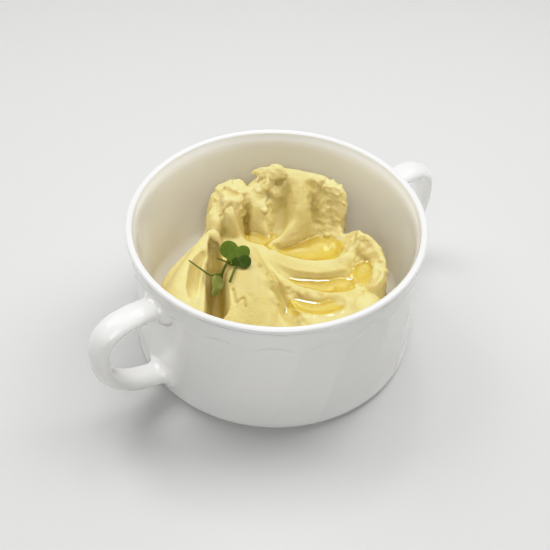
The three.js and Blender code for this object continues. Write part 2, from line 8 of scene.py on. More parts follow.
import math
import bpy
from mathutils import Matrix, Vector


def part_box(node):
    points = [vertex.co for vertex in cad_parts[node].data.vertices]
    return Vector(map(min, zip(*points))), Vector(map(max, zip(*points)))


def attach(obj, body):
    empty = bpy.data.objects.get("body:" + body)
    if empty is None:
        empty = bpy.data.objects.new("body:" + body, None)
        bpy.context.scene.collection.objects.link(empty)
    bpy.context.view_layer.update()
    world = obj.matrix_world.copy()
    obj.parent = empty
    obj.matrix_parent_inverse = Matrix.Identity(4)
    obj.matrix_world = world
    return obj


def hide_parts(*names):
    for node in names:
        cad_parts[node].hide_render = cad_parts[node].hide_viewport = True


bl_info = {
    "name": "Mashed Potato in a Soup Cup",
    "version": (1, 0, 0),
    "blender": (4, 5, 0),
    "location": "3D View > Sidebar > Potato",
    "description": "Builds a serving of mashed potato in a porcelain soup cup",
    "category": "Add Mesh",
}

import bmesh
import bpy
import numpy as np
from bpy.props import FloatProperty, FloatVectorProperty, IntProperty, PointerProperty
from mathutils import Matrix, Vector

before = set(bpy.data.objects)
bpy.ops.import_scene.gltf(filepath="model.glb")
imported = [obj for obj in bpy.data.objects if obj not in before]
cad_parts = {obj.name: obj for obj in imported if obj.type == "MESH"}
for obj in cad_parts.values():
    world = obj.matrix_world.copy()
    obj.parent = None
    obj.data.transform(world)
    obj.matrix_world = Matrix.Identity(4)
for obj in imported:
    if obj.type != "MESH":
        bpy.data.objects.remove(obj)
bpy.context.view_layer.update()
BOWL_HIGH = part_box("bowl")[1]

MM = 0.001
TAU = 2 * math.pi
SERVING_TURN = math.radians(-40)

# ---------------------------------------------------------------- sizes of the cup, millimetres
RIM_RADIUS = BOWL_HIGH.y / MM
RIM_HEIGHT = BOWL_HIGH.z / MM
MOUTH_RADIUS = 50.0
WALL_RADIUS = 51.0
BASE_RADIUS = 51.5
INNER_RADIUS = 48.2
INNER_CORNER = 8.0
OUTER_CORNER = 3.4
FLOOR_HEIGHT = 5.0
FOOT_RADIUS = 47.6
FOOT_WIDTH = 3.8
FOOT_DEPTH = 1.5
FLUTE_COUNT = 18
FLUTE_TOP = 41.0
FLUTE_ARCH = 2.6
FLUTE_EDGE = 1.2
FLUTE_FADE = 5.0
FLUTE_SLANT = math.radians(0.307)
FLUTE_PHASE = math.radians(0.5)
BEAD_START, BEAD_END = 178, -48

# How far the inner wall leans out towards the rim: extra radius, height.
INNER_FLARE = [(0.1, 22), (0.25, 36), (0.45, 46), (0.8, RIM_HEIGHT - 4)]

# The strap handles: a squarish loop that rises outward, with an oval section.
HANDLE_ROOT = 49.7
HANDLE_MIDDLE = 24.3
HANDLE_HALF = 16.5
HANDLE_REACH = 24.3
HANDLE_POWER = 2 / 2.55
HANDLE_LIFT = 0.27
HANDLE_THICKNESS = 5.9
HANDLE_WIDTH = 9.9
HANDLE_ROOT_DEPTH = 1.3
HANDLE_SIDES = 56
HANDLE_BEND_STEPS = 34

# ---------------------------------------------------------------- the heap of mash, millimetres
HUB_HEIGHT = 34.5
HUB_RADIUS = 8.0
FOOT_HEIGHT = 8.5
SHOULDER = 10.0
SHOULDER_START = 0.93
SKIRT_HEIGHT = 7.5
LUMP_FALL = 4.0
PATH_FALL = 3.0
CUP_GAP = 0.3
TOP_REACH = 41.0
FLANK_HEIGHT = 25.0

# Outline of the heap: bearing in degrees, radius, height of its edge.
OUTLINE = [
    (-19, 41.5, 31), (-5, 40.5, 33), (3, 41.3, 36), (15, 39.6, 38), (28, 34.8, 38.5), (38, 31.5, 37.5),
    (46, 37.5, 43), (53, 42, 46.5), (66, 40.5, 48.5), (80, 38.5, 50), (92, 37.5, 51), (98, 37.5, 49.5),
    (105, 37.5, 46), (113, 38.2, 46.5), (122, 40.2, 45), (131, 39.8, 42), (142, 33.2, 36), (154, 31.8, 34),
    (168, 34.6, 32), (182, 39.2, 31), (196, 43.5, 30), (215, 46, 30), (240, 46.8, 28), (262, 46.8, 27),
    (282, 46.8, 28), (300, 46.8, 31.5), (325, 45, 32),
]

# What the spoon did, in order. Lump: middle, half sizes, turn in degrees. Roll and scoop: half width
# at the start and at the end, path of x, y, height. These three end with the power of their section
# and the softness of their edge. Cut: depth, half width, path of x, y, power of its section.
STROKES = [
    ("lump", (-16.2, 22.5, 45.4), (5.4, 11.0), 4, 3.0, 0.9),
    ("lump", (-22.6, 19.0, 41.6), (3.6, 9.0), 4, 2.8, 0.8),
    ("lump", (-1.2, 31.0, 47.8), (5.6, 6.0), 0, 1.8, 1.0),
    ("lump", (20.5, 26.0, 47.6), (6.4, 8.0), -8, 2.4, 1.2),
    ("lump", (21.0, 20.0, 42.0), (6.0, 7.5), -8, 2.2, 1.2),
    ("lump", (24.5, 9.0, 38.6), (6.0, 5.5), -25, 2.0, 0.8),
    ("lump", (31.5, 5.0, 39.8), (6.0, 5.5), -30, 2.0, 0.8),
    ("lump", (37.0, -3.5, 38.8), (4.4, 8.5), -8, 2.2, 0.8),
    ("lump", (34.5, -22.0, 35.5), (9.0, 8.5), 0, 1.6, 1.5),
    ("scoop", (10.0, 11.0), [(4, 3, 33.6), (14, -4, 33.2), (24, -8, 33.4)], 4.0, 1.5),
    ("roll", (2.8, 7.5), [(-23.2, 8.6, 38.8), (-25.2, 4.0, 38.7), (-27.8, -3.5, 37.0), (-31, -13, 34.8),
                          (-32.5, -21.5, 33.3)], 2.4, 1.0),
    ("scoop", (4.6, 4.2), [(-7.8, 14.5, 32.6), (-8, 17.5, 35.6), (-8.2, 21.5, 40.6), (-8, 26.5, 45.2)],
     6.0, 0.7),
    ("scoop", (4.2, 3.8), [(0.2, 14, 31.0), (0.6, 19, 32.8), (0.6, 24.5, 37.0), (0, 29, 44.0)], 3.0, 0.5),
    ("scoop", (4.2, 3.6), [(-8.4, 12.6, 31.0), (-3, 11.0, 30.6), (1.8, 13.2, 30.8)], 2.6, 0.5),
    ("scoop", (2.6, 2.2), [(16.8, 15, 30.2), (15.0, 20, 33), (13.8, 24.5, 37), (12.8, 28.5, 42.5)], 2.6, 0.7),
    ("scoop", (3.6, 8.2), [(-1.0, 8.2, 31.4), (5, 8.4, 29), (12, 8.8, 28), (18, 10.6, 28.6)], 2.8, 0.8),
    ("roll", (4.0, 1.8), [(8, 33, 49), (8.1, 27, 46), (7.8, 21, 42.0), (6.2, 16.4, 38.0), (2.8, 12.9, 35.0),
                          (-0.4, 10.9, 33.2), (-2.6, 9.6, 32.2)], 2.2, 0.7),
    ("scoop", (2.0, 5.0), [(-1.5, -0.4, 34.0), (3, -5.2, 31.6), (9, -8.6, 29.2), (17, -10.0, 28.5),
                           (25.5, -8.4, 29.6)], 2.6, 0.7),
    ("scoop", (5.0, 5.6), [(30.5, -8.5, 31.4), (31, -3.5, 30.4), (31.5, 0, 30.6)], 2.4, 0.9),
    ("scoop", (3.6, 4.4), [(5, -17, 32.4), (9.5, -20.4, 31.0), (15.5, -21.8, 30.8), (22, -19.6, 31.4)],
     2.6, 0.9),
    ("scoop", (1.6, 4.2), [(-6.5, 1, 34.4), (-3.2, -7.5, 31.8), (1.4, -16.5, 29.8), (6, -26, 29.4),
                           (11, -35, 29.8)], 2.6, 0.5),
    ("roll", (5.4, 9.5), [(-11, 1.5, 36.8), (-10.0, -7, 39.2), (-9.0, -14, 39.0), (-8.0, -24, 36.2),
                          (-6.5, -36, 30.5)], 2.6, 0.4),
    ("scoop", (1.3, 2.9), [(-22.4, 8.5, 34), (-22.2, 3, 29.5), (-21.2, -4.5, 25), (-20.6, -12.5, 22),
                           (-19.8, -24, 20)], 3.4, 0.6),
    ("scoop", (1.6, 2.6), [(-25.8, -2, 34.6), (-28.0, -6, 32.4), (-28.6, -13, 31.2), (-28.0, -18.5, 31.8)],
     2.2, 1.0),
    ("cut", 4.5, 1.0, [(-11.2, 15.5), (-11.4, 22)], 2.0),
    ("cut", 4.0, 1.5, [(-11.5, 30), (-11.5, 39.5)], 2.0),
]

# Torn, crumbly places: x, y, radius, strength.
TEARS = [
    (-19, 23, 10, 1.0), (-4.5, 31, 9, 0.8), (19.5, 26, 9, 1.0), (30.5, 7.5, 8, 0.9), (38.0, -2, 7, 0.9),
    (-23, 7, 3.5, 0.4), (-1.5, -15.5, 4, 0.5), (9, -28.5, 4, 0.5), (-13.0, -22.0, 5, 0.3),
    (30, -17, 6, 0.5), (-3.6, 21, 3, 0.8),
]
CALM = 0.12

# Crumbling of those places, coarse and fine: height, length across and along, seed.
COARSE_CRUMBLE = (1.8, 3.1, 2.7, 1)
FINE_CRUMBLE = (0.9, 1.5, 1.6, 2)
CRUMBLE_SLANT = 0.3

# Relief of the skin, in layers of height, size and seed: on torn places, and everywhere.
TORN_RELIEF = [(1.6, 4.6, 11), (0.9, 2.2, 12), (0.5, 1.1, 13)]
CALM_RELIEF = [(0.5, 5.5, 14), (0.27, 2.6, 15), (0.19, 1.3, 16)]
TORN_START, TORN_RANGE = 0.15, 0.6
RELIEF_BOTTOM, RELIEF_RISE = 14, 8
WET_CALM = 0.75

# Flakes that overhang: path of x, y, z, half widths across and half heights at its points, lean.
FLAKES = [
    ([(-10.4, 33.0, 46.4), (-8.0, 32.8, 47.0), (-5.0, 32.4, 47.4), (-1.5, 32.2, 47.8), (2.0, 33, 47.8)],
     (0.5, 1.6, 2.8, 3.2, 2.4), (0.25, 0.5, 0.9, 1.2, 1.1), 40),
    ([(-24.2, 8.6, 37.4), (-23.0, 7.4, 38.4), (-21.6, 5.8, 37.6), (-20.8, 4.8, 36.0)],
     (1.6, 1.7, 1.4, 0.8), (1.2, 1.2, 1.0, 0.7), 0),
    ([(15.5, 29.0, 46.4), (17.2, 28.4, 48.4), (17.8, 28.2, 49.3)], (1.6, 0.9, 0.4), (1.6, 0.9, 0.5), 0),
    ([(-5.4, -12.6, 37.8), (-3.4, -14.4, 37.2), (-1.5, -15.8, 36.1)], (1.8, 2.0, 0.9), (0.8, 0.9, 0.5), 0),
    ([(-3.6, -18.0, 36.0), (-1.0, -19.6, 34.8), (1.8, -21.0, 33.0)], (1.6, 2.0, 0.9), (0.8, 0.9, 0.6), 0),
]

# Pits torn into the steep faces: middle, radius, depth.
PITS = [
    ((-4.0, 25.0, 42.0), 1.9, 1.8), ((-4.2, 21.3, 38.0), 1.7, 1.6), ((-4.5, 18.9, 35.6), 1.1, 1.0),
    ((-22.5, 4.6, 34.5), 2.2, 1.2), ((21.0, 18.5, 40.0), 1.6, 0.9),
]

# Fissures in the skin: depth, half width, path of x, y.
FISSURES = [
    (1.1, 0.5, [(-14.6, -18.5), (-14.0, -21), (-13.1, -24), (-10.5, -22.6), (-9.7, -25.4)]),
    (0.7, 0.45, [(-15.6, 14.5), (-17.5, 16), (-20.5, 15)]),
]

# Crumbs: least radius and how much larger they get, how deep they sit, stretch and unevenness.
CRUMB_COUNT = 120
CRUMB_SEED = 11
CRUMB_REACH = 42
CRUMB_RADIUS, CRUMB_SPREAD = 0.7, 0.9
CRUMB_SUNK = 0.4
CRUMB_STRETCH = (0.6, 1.1)
CRUMB_UNEVEN = 0.3
UNEVEN_SEEDS = (21, 22, 23)

# A crumb's place lies within this share of the outline and is torn by at least the first number, up to
# the first and the second together by chance.
CRUMB_SHARE = 0.99
CRUMB_TORN, CRUMB_CHANCE = 0.3, 0.5

# Edges that break into crumbs: how many, path of x, y.
CRUMBLY_EDGES = [
    (26, [(-6.2, -7.7), (-3.2, -10.2), (-1.7, -13.3), (-0.9, -16.9), (0.9, -19.5), (3.1, -20.6)]),
    (10, [(3.6, -12.6), (7.5, -15.2), (12.4, -16.2), (17.6, -15.4)]),
    (8, [(22, -9.5), (27, -9.0), (31, -11.5), (34, -14.5)]),
]
EDGE_SEED = 5
EDGE_RADIUS, EDGE_SPREAD = 0.65, 0.8
EDGE_SUNK = 0.15
EDGE_SCATTER = 1.6

# Streaks of oil soaked in, partly painted shade on shaded flanks: strength, half width, path of x, y.
SOAK_SHADE_STREAKS = [
    (1.0, 2.6, [(-5.4, -7), (-2.4, -12.5), (1.2, -17.5), (4.6, -23), (8.5, -31)]),
    (0.8, 7.5, [(-15, -6), (-11, -13), (-8, -22), (-6, -34)]),
    (0.7, 3.5, [(2, 0.5), (6, -2), (10, -4), (15, -5), (20, -4), (25, -1.5)]),
    (0.7, 3.5, [(3, -13), (8, -16.5), (13, -17.5), (18, -17), (24, -14)]),
    (0.7, 4.0, [(5, 30), (7.5, 24.5), (8, 18)]),
]

# Pools: middle, level, half sizes, turn in degrees.
POOLS = {
    "oil_back": ((-5.2, 12.0), 32.0, (7.2, 6.0), 0),
    "oil_centre": ((12.5, 9.0), 30.2, (14.5, 9.0), 12),
    "oil_middle": ((16.0, -9.0), 30.5, (14.0, 6.5), 5),
    "oil_right": ((31.5, -2.5), 31.1, (5.6, 7.0), 0),
    "oil_front": ((14.5, -21.2), 32.0, (10.5, 5.0), -5),
}
SHORE_BAND = 0.12
POOL_SINK = 0.12
SHORE_SINK = 0.04
RIPPLE_HEIGHT = 0.07
RIPPLE_LENGTH = 3.2
RIPPLE_SEED = 31

# Wet mash beside a pool: how far past its oval, and how far above its level, each with its fade.
WET_PAST, WET_PAST_FADE = 0.2, 0.35
WET_ABOVE, WET_ABOVE_FADE = 1.6, 1.8

# Hollows: the grid's reach and cell, rounds of blurring, depth of a full hollow, ground beside the heap
# above its foot, and the height over which the painted shade in the hollows sets in.
HOLLOW_REACH = 60
HOLLOW_CELL = 0.75
HOLLOW_SPREAD = 30
HOLLOW_DEPTH = 5.0
HOLLOW_GROUND = 14
SHADE_BOTTOM, SHADE_RISE = 15, 6

# Sprouts. Leaf: where the stalk joins, middles of the left and the right lobe, their radii, and where
# they differ from the usual ones its curl, the width of its taper and how softly its lobes melt into
# one. Stalks: path, radius at the start and at the end.
SPROUTS = {
    "sprout_bright": {
        "leaf": dict(base=(-16.6, -7.8, 39.0), left=(-16.5, -3.2, 40.9), right=(-11.8, -4.3, 40.8),
                     radii=(3.3, 2.8), taper=0.7),
        "stalks": [([(-16.6, -7.2, 39.4), (-17.4, -8.2, 38.0), (-18.4, -8.9, 35.6), (-19.0, -8.8, 32.5),
                     (-19.4, -8.6, 29.0)], (0.46, 0.5))],
    },
    "sprout_dark": {
        "leaf": dict(base=(-14.1, -10.7, 39.7), left=(-13.7, -9.2, 40.6), right=(-10.9, -9.2, 41.0),
                     radii=(1.6, 2.5), curl=0.3),
        "stalks": [([(-20.9, -1.5, 34.8), (-17.8, -5.3, 37.0), (-15.9, -7.8, 38.1), (-13.9, -9.8, 39.7)],
                    (0.3, 0.38)),
                   ([(-13.9, -9.9, 39.5), (-14.8, -13.9, 38.9), (-15.6, -16.2, 37.7)], (0.34, 0.5))],
    },
    "sprout_pale": {
        "leaf": dict(base=(-20.3, -10.1, 35.2), left=(-20.8, -13.3, 29.6), right=(-20.1, -11.4, 32.2),
                     radii=(1.9, 2.4), curl=0.9, taper=1.2, melt=1.2),
        "stalks": [([(-19.3, -9.8, 35.1), (-20.5, -9.9, 35.1), (-22.8, -10.5, 35.1), (-26.0, -9.1, 36.4),
                     (-30.7, -5.2, 36.8)], (0.42, 0.26))],
    },
}

# Steps round and outward of a leaf, its rim's share and thinning, its middle vein, and how far a
# stalk's round end reaches, in radii.
LEAF_DIRECTIONS = 96
LEAF_RINGS = 15
LEAF_RIM = 0.985
LEAF_RIM_THIN = 0.8
VEIN_DEPTH = 0.22
VEIN_WIDTH = 0.22
STALK_END = 0.6


# ---------------------------------------------------------------- settings
class CupSettings(bpy.types.PropertyGroup):
    segments: IntProperty(name="Segments", description="Facets round the cup", default=432, min=72)
    flute_depth: FloatProperty(
        name="Flute depth", description="How deep the shallow flutes are pressed",
        default=0.45 * MM, subtype="DISTANCE", unit="LENGTH")
    handle_fillet: FloatProperty(
        name="Handle fillet", description="Radius where a handle runs into the wall",
        default=3.2 * MM, subtype="DISTANCE", unit="LENGTH")
    body_colour: FloatVectorProperty(
        name="Porcelain", description="Colour of the glazed body",
        default=(0.945, 0.945, 0.93), subtype="COLOR", size=3)
    roughness: FloatProperty(
        name="Roughness", description="Roughness of the glaze", default=0.16, min=0, max=1, subtype="FACTOR")


class MashSettings(bpy.types.PropertyGroup):
    cell: FloatProperty(
        name="Mesh cell", description="Edge length of the heap's mesh",
        default=0.4 * MM, subtype="DISTANCE", unit="LENGTH")
    triangles: IntProperty(
        name="Triangles", description="Most triangles in the heap", default=190000, min=1000)
    colour: FloatVectorProperty(
        name="Mash", description="Colour of the mash", default=(0.71, 0.59, 0.25), subtype="COLOR", size=3)
    dry_colour: FloatVectorProperty(
        name="Torn mash", description="Colour of the torn, drier crests",
        default=(0.745, 0.625, 0.28), subtype="COLOR", size=3)
    # Colour of oil-soaked mash, which the hollow and streak layers also use as painted shade.
    oil_and_shade_colour: FloatVectorProperty(
        name="Oily mash", description="Colour of the mash that the oil has soaked",
        default=(0.42, 0.315, 0.045), subtype="COLOR", size=3)
    # Painted shade: the mash under oil in the deepest hollows, at the foot of the walls.
    shaded_oil_colour: FloatVectorProperty(
        name="Mash under oil", description="Colour of the mash under the deepest oil",
        default=(0.33, 0.235, 0.03), subtype="COLOR", size=3)
    # Painted shade: a dark brown mixed in deep down in the clefts, where shade falls.
    cleft_shade_colour: FloatVectorProperty(
        name="Stained mash", description="Colour of the mash deep in the clefts",
        default=(0.40, 0.24, 0.015), subtype="COLOR", size=3)
    crumb_height: FloatProperty(
        name="Crumb height", description="Height of the crumbs on the torn places",
        default=0.9 * MM, subtype="DISTANCE", unit="LENGTH")


class OilSettings(bpy.types.PropertyGroup):
    cell: FloatProperty(
        name="Mesh cell", description="Edge length of the pools' mesh",
        default=0.3 * MM, subtype="DISTANCE", unit="LENGTH")
    meniscus: FloatProperty(
        name="Meniscus", description="How far the oil climbs at its shore",
        default=0.55 * MM, subtype="DISTANCE", unit="LENGTH")
    colour: FloatVectorProperty(
        name="Oil", description="Tint of the oil", default=(0.985, 0.95, 0.74), subtype="COLOR", size=3)


class SproutSettings(bpy.types.PropertyGroup):
    thickness: FloatProperty(
        name="Leaf thickness", description="Thickness of the seed leaves",
        default=0.4 * MM, subtype="DISTANCE", unit="LENGTH")
    bright: FloatVectorProperty(
        name="Bright leaf", description="Colour of the upper leaf",
        default=(0.075, 0.115, 0.008), subtype="COLOR", size=3)
    # Painted shade: a darker copy of the leaf colour, for the leaf that lies in shade beneath.
    shaded_leaf: FloatVectorProperty(
        name="Dark leaf", description="Colour of the leaf beneath",
        default=(0.030, 0.055, 0.003), subtype="COLOR", size=3)
    pale: FloatVectorProperty(
        name="Pale leaf", description="Colour of a leaf's underside",
        default=(0.24, 0.28, 0.075), subtype="COLOR", size=3)
    stalk: FloatVectorProperty(
        name="Stalk", description="Colour of the stalks",
        default=(0.10, 0.12, 0.015), subtype="COLOR", size=3)


class StageSettings(bpy.types.PropertyGroup):
    floor_colour: FloatVectorProperty(
        name="Floor", description="Colour of the floor", default=(0.60, 0.60, 0.59), subtype="COLOR", size=3)
    lamp_power: FloatProperty(
        name="Lamps", description="Power of the four soft lamps together", default=8.4, unit="POWER")
    glint_power: FloatProperty(
        name="Glint", description="Power of the small lamp that only gloss shows", default=1.7, unit="POWER")
    fill: FloatProperty(name="Fill", description="Brightness of the light all round", default=0.08)
    camera_bearing: FloatProperty(
        name="Camera bearing", description="Where the camera stands round the cup",
        default=math.radians(-40), subtype="ANGLE", unit="ROTATION")
    camera_pitch: FloatProperty(
        name="Camera pitch", description="How far the camera looks down",
        default=math.radians(44.694), subtype="ANGLE", unit="ROTATION")
    camera_roll: FloatProperty(
        name="Camera roll", description="How far the camera leans",
        default=math.radians(1.962), subtype="ANGLE", unit="ROTATION")
    camera_distance: FloatProperty(
        name="Camera distance", description="From the middle of the rim",
        default=346.95 * MM, subtype="DISTANCE", unit="LENGTH")
    camera_drop: FloatProperty(
        name="Camera drop", description="How far the view's middle lies below the rim's middle",
        default=19.52 * MM, subtype="DISTANCE", unit="LENGTH")
    lens: FloatProperty(
        name="Lens", description="Focal length in millimetres", default=65.4545, unit="CAMERA")


FLOOR_HALF = 1.6

# Soft lamps, in metres, seen from the camera's bearing: name, share of the power, place to the right,
# away and up, size. Then the place and size of the small lamp that only gloss shows.
LAMPS = [
    ("back_right", 0.235, 0.30, 0.20, 0.50, 0.35),
    ("back_left", 0.215, -0.30, 0.20, 0.50, 0.35),
    ("front", 0.45, 0, -0.70, 0.80, 0.60),
    ("top", 0.10, 0, 0.10, 0.55, 0.35),
]
GLINT_LAMP = ((0.02, 0.26, 0.50), 0.08)
LAMP_AIM = Vector((0, 0, 0.03))
TONE_WHITE = 2.0
TONE_START = 0.7
TONE_POINTS = (0.35, 0.70, 0.85, 1.05, 1.35)


def shoulder(x):
    """The picture's brightness for a scene brightness: even up to TONE_START, then rolling off to 1."""
    room = 1 - TONE_START
    return x if x < TONE_START else 1 - room * math.exp((TONE_START - x) / room)


# ---------------------------------------------------------------- shells of stacked rings
class Shell:
    """Rings of points, each stitched to the one before, closed by a centre point at both ends."""

    def __init__(self):
        self.points = []
        self.faces = []
        self.count = 0
        self.last = None

    def add(self, points):
        points = np.asarray(points, float).reshape(-1, 3)
        ring = np.arange(self.count, self.count + len(points))
        self.points.append(points)
        self.count += len(points)
        return ring

    def open(self, centre):
        self.start = self.add(centre)[0]

    def ring(self, points):
        ring = self.add(points)
        after = np.roll(ring, -1)
        if self.last is None:
            start = np.full(len(ring), self.start)
            self.faces.extend(np.stack([start, ring, after], 1).tolist())
        elif len(ring) == len(self.last):
            before = np.roll(self.last, -1)
            self.faces.extend(np.stack([self.last, ring, after, before], 1).tolist())
        else:
            self.stitch(self.last.tolist(), ring.tolist())
        self.last = ring

    def stitch(self, a, b):
        i = j = 0
        while i < len(a) or j < len(b):
            along_a = j >= len(b) or (i < len(a) and (i + 1) / len(a) <= (j + 1) / len(b))
            if along_a:
                self.faces.append((a[i], b[j % len(b)], a[(i + 1) % len(a)]))
                i += 1
            else:
                self.faces.append((a[i % len(a)], b[j], b[(j + 1) % len(b)]))
                j += 1

    def close(self, centre):
        end = self.add(centre)[0]
        ends = np.full(len(self.last), end)
        self.faces.extend(np.stack([self.last, ends, np.roll(self.last, -1)], 1).tolist())

    def form(self):
        return np.concatenate(self.points), self.faces

    def mesh(self, name):
        return mesh_from(name, *self.form())


def mesh_from(name, points, faces):
    """A smooth-shaded mesh of points in millimetres."""
    mesh = bpy.data.meshes.new(name)
    mesh.from_pydata((np.asarray(points) * MM).tolist(), [], faces)
    mesh.validate()
    mesh.shade_smooth()
    mesh.update()
    return mesh


def add_object(name, mesh):
    piece = bpy.data.objects.new(name, mesh)
    bpy.context.scene.collection.objects.link(piece)
    return piece


def finish_piece(piece, material, slot, *nodes):
    """Gives a piece its material, hangs it under the root body and hides the solids it stands for."""
    piece.data.materials.clear()
    piece.data.materials.append(material)
    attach(piece, "root")
    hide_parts(*nodes)


def turned(points, angle):
    """Points turned round the upright axis."""
    c, s = math.cos(angle), math.sin(angle)
    p = np.asarray(points, float)
    return np.stack([p[:, 0] * c - p[:, 1] * s, p[:, 0] * s + p[:, 1] * c, p[:, 2]], 1)


# ---------------------------------------------------------------- numbers
def smooth(t):
    u = np.clip(t, 0, 1)
    return u * u * (3 - 2 * u)


def soft_min(a, b, k):
    h = np.clip(0.5 + 0.5 * (b - a) / k, 0, 1)
    return b * (1 - h) + a * h - k * h * (1 - h)


def soft_max(a, b, k):
    return -soft_min(-a, -b, k)


def lattice(i, j, seed):
    v = np.sin(i * 127.1 + j * 311.7 + seed * 74.7) * 43758.5453
    return v - np.floor(v)


def noise(x, y, seed):
    """Repeatable value noise from -0.5 to 0.5."""
    i, j = np.floor(x), np.floor(y)
    u, v = smooth(x - i), smooth(y - j)
    near = lattice(i, j, seed) * (1 - u) + lattice(i + 1, j, seed) * u
    far = lattice(i, j + 1, seed) * (1 - u) + lattice(i + 1, j + 1, seed) * u
    return near * (1 - v) + far * v - 0.5


def solid_noise(points, scale, seed):
    """Repeatable noise in space, from -0.5 to 0.5."""
    q = points / scale
    level = np.floor(q[:, 2])
    w = smooth(q[:, 2] - level)
    low = noise(q[:, 0] + 17.3 * level, q[:, 1] + 9.1 * level, seed)
    high = noise(q[:, 0] + 17.3 * (level + 1), q[:, 1] + 9.1 * (level + 1), seed)
    return low * (1 - w) + high * w


def noise_vector(points, scale):
    return np.stack([solid_noise(points, scale, seed) for seed in UNEVEN_SEEDS], 1)


def catmull(points, per_span=10):
    """Points along a smooth curve through the given ones; a path of x, y lies at height 0."""
    p = np.asarray(points, float)
    if p.shape[1] == 2:
        p = np.column_stack([p, np.zeros(len(p))])
    q = np.vstack([2 * p[0] - p[1], p, 2 * p[-1] - p[-2]])
    t = np.arange(per_span)[:, None] / per_span
    spans = []
    for k in range(1, len(q) - 2):
        a, b, c, d = q[k - 1], q[k], q[k + 1], q[k + 2]
        spans.append(0.5 * (2 * b + (c - a) * t + (2 * a - 5 * b + 4 * c - d) * t ** 2
                            + (3 * b - a - 3 * c + d) * t ** 3))
    return np.vstack(spans + [p[-1:]])


def nearest(path, x, y):
    """Distance to a path, with the path's height and share there."""
    best = np.full(x.shape, 1e9)
    height = np.zeros(x.shape)
    share = np.zeros(x.shape)
    for k in range(len(path) - 1):
        a, b = path[k], path[k + 1]
        ex, ey = b[0] - a[0], b[1] - a[1]
        t = np.clip(((x - a[0]) * ex + (y - a[1]) * ey) / (ex * ex + ey * ey), 0, 1)
        distance = np.hypot(x - a[0] - t * ex, y - a[1] - t * ey)
        closer = distance < best
        best = np.where(closer, distance, best)
        height = np.where(closer, a[2] + t * (b[2] - a[2]), height)
        share = np.where(closer, (k + t) / (len(path) - 1), share)
    return best, height, share


# ---------------------------------------------------------------- the cup
def wall_radius_at(z):
    return BASE_RADIUS + (WALL_RADIUS - BASE_RADIUS) * z / RIM_HEIGHT


def inner_radius_at(z):
    drop = np.clip(FLOOR_HEIGHT + INNER_CORNER - z, 0, INNER_CORNER)
    return INNER_RADIUS - INNER_CORNER + np.sqrt(INNER_CORNER ** 2 - drop ** 2)


def flute_start(z):
    return FLUTE_PHASE - FLUTE_SLANT * np.maximum(FLUTE_TOP - z, 0)


def cup_profile():
    """The cup's section from the middle of its floor to the middle of its underside: radius, height."""
    section = [(r, FLOOR_HEIGHT) for r in np.linspace(8, INNER_RADIUS - INNER_CORNER, 4)]
    for angle in np.radians(np.linspace(-80, 0, 9)):
        section.append((INNER_RADIUS - INNER_CORNER + INNER_CORNER * math.cos(angle),
                        FLOOR_HEIGHT + INNER_CORNER * (1 + math.sin(angle))))
    flare = [(INNER_RADIUS + out, z) for out, z in INNER_FLARE] + [(MOUTH_RADIUS - 0.4, RIM_HEIGHT - 2.2)]
    section.extend((r, z) for r, z, _ in catmull(flare, 5))
    bead = (RIM_RADIUS - MOUTH_RADIUS) / 2
    for angle in np.radians(np.linspace(BEAD_START, BEAD_END, 23)):
        section.append((MOUTH_RADIUS + bead * (1 + math.cos(angle)),
                        RIM_HEIGHT - bead * (1 - math.sin(angle))))
    neck = [(MOUTH_RADIUS + 1.72, RIM_HEIGHT - 2.7), (WALL_RADIUS + 0.22, RIM_HEIGHT - 3.5),
            (wall_radius_at(48), RIM_HEIGHT - 5.0)]
    section.extend((r, z) for r, z, _ in catmull(neck, 4))
    # Close rings where the flutes arch, wider ones down the wall.
    heights = np.concatenate([np.linspace(47, 38, 25), np.linspace(36, OUTER_CORNER + 1, 16)])
    section.extend((wall_radius_at(z), z) for z in heights)
    for angle in np.radians(np.linspace(0, -80, 9)):
        section.append((BASE_RADIUS - OUTER_CORNER * (1 - math.cos(angle)),
                        OUTER_CORNER * (1 + math.sin(angle))))
    # The foot ring's flat and its rounded inner side, then the recessed underside.
    foot_in = FOOT_RADIUS - FOOT_WIDTH
    section += [(FOOT_RADIUS, 0), (foot_in + 0.25, 0), (foot_in - 0.1, 0.25),
                (foot_in - 0.9, FOOT_DEPTH - 0.2), (foot_in - 1.3, FOOT_DEPTH),
                (30, FOOT_DEPTH), (10, FOOT_DEPTH)]
    return section


def cup_body(settings):
    """The cup turned from its section, with slanting shallow flutes pressed into the outside."""
    shell = Shell()
    shell.open((0, 0, FLOOR_HEIGHT))
    share = np.arange(settings.segments) / settings.segments
    outside = False
    for radius, z in cup_profile():
        outside = outside or radius > RIM_RADIUS - 0.01
        depth = 0
        turn = 0
        if outside and z > OUTER_CORNER and radius > FOOT_RADIUS:
            turn = flute_start(z)
            across = share * FLUTE_COUNT
            hollow = 1 - (2 * (across - np.floor(across)) - 1) ** 2
            arch = FLUTE_TOP + FLUTE_ARCH * hollow
            rise = smooth((arch - z) / FLUTE_EDGE) * smooth((z - OUTER_CORNER) / FLUTE_FADE)
            depth = settings.flute_depth / MM * hollow * rise
        elif outside:
            turn = flute_start(0)
        bearing = turn + TAU * share
        r = radius - depth
        shell.ring(np.stack([r * np.cos(bearing), r * np.sin(bearing), np.full(len(share), z)], 1))
    shell.close((0, 0, FOOT_DEPTH))
    return shell.mesh("bowl")


def handle_middle(angle, side):
    out = HANDLE_REACH * abs(math.cos(angle)) ** HANDLE_POWER
    up = math.copysign(abs(math.sin(angle)) ** HANDLE_POWER, angle)
    return np.array([side * (HANDLE_ROOT + out), 0, HANDLE_MIDDLE + HANDLE_HALF * up + HANDLE_LIFT * out])


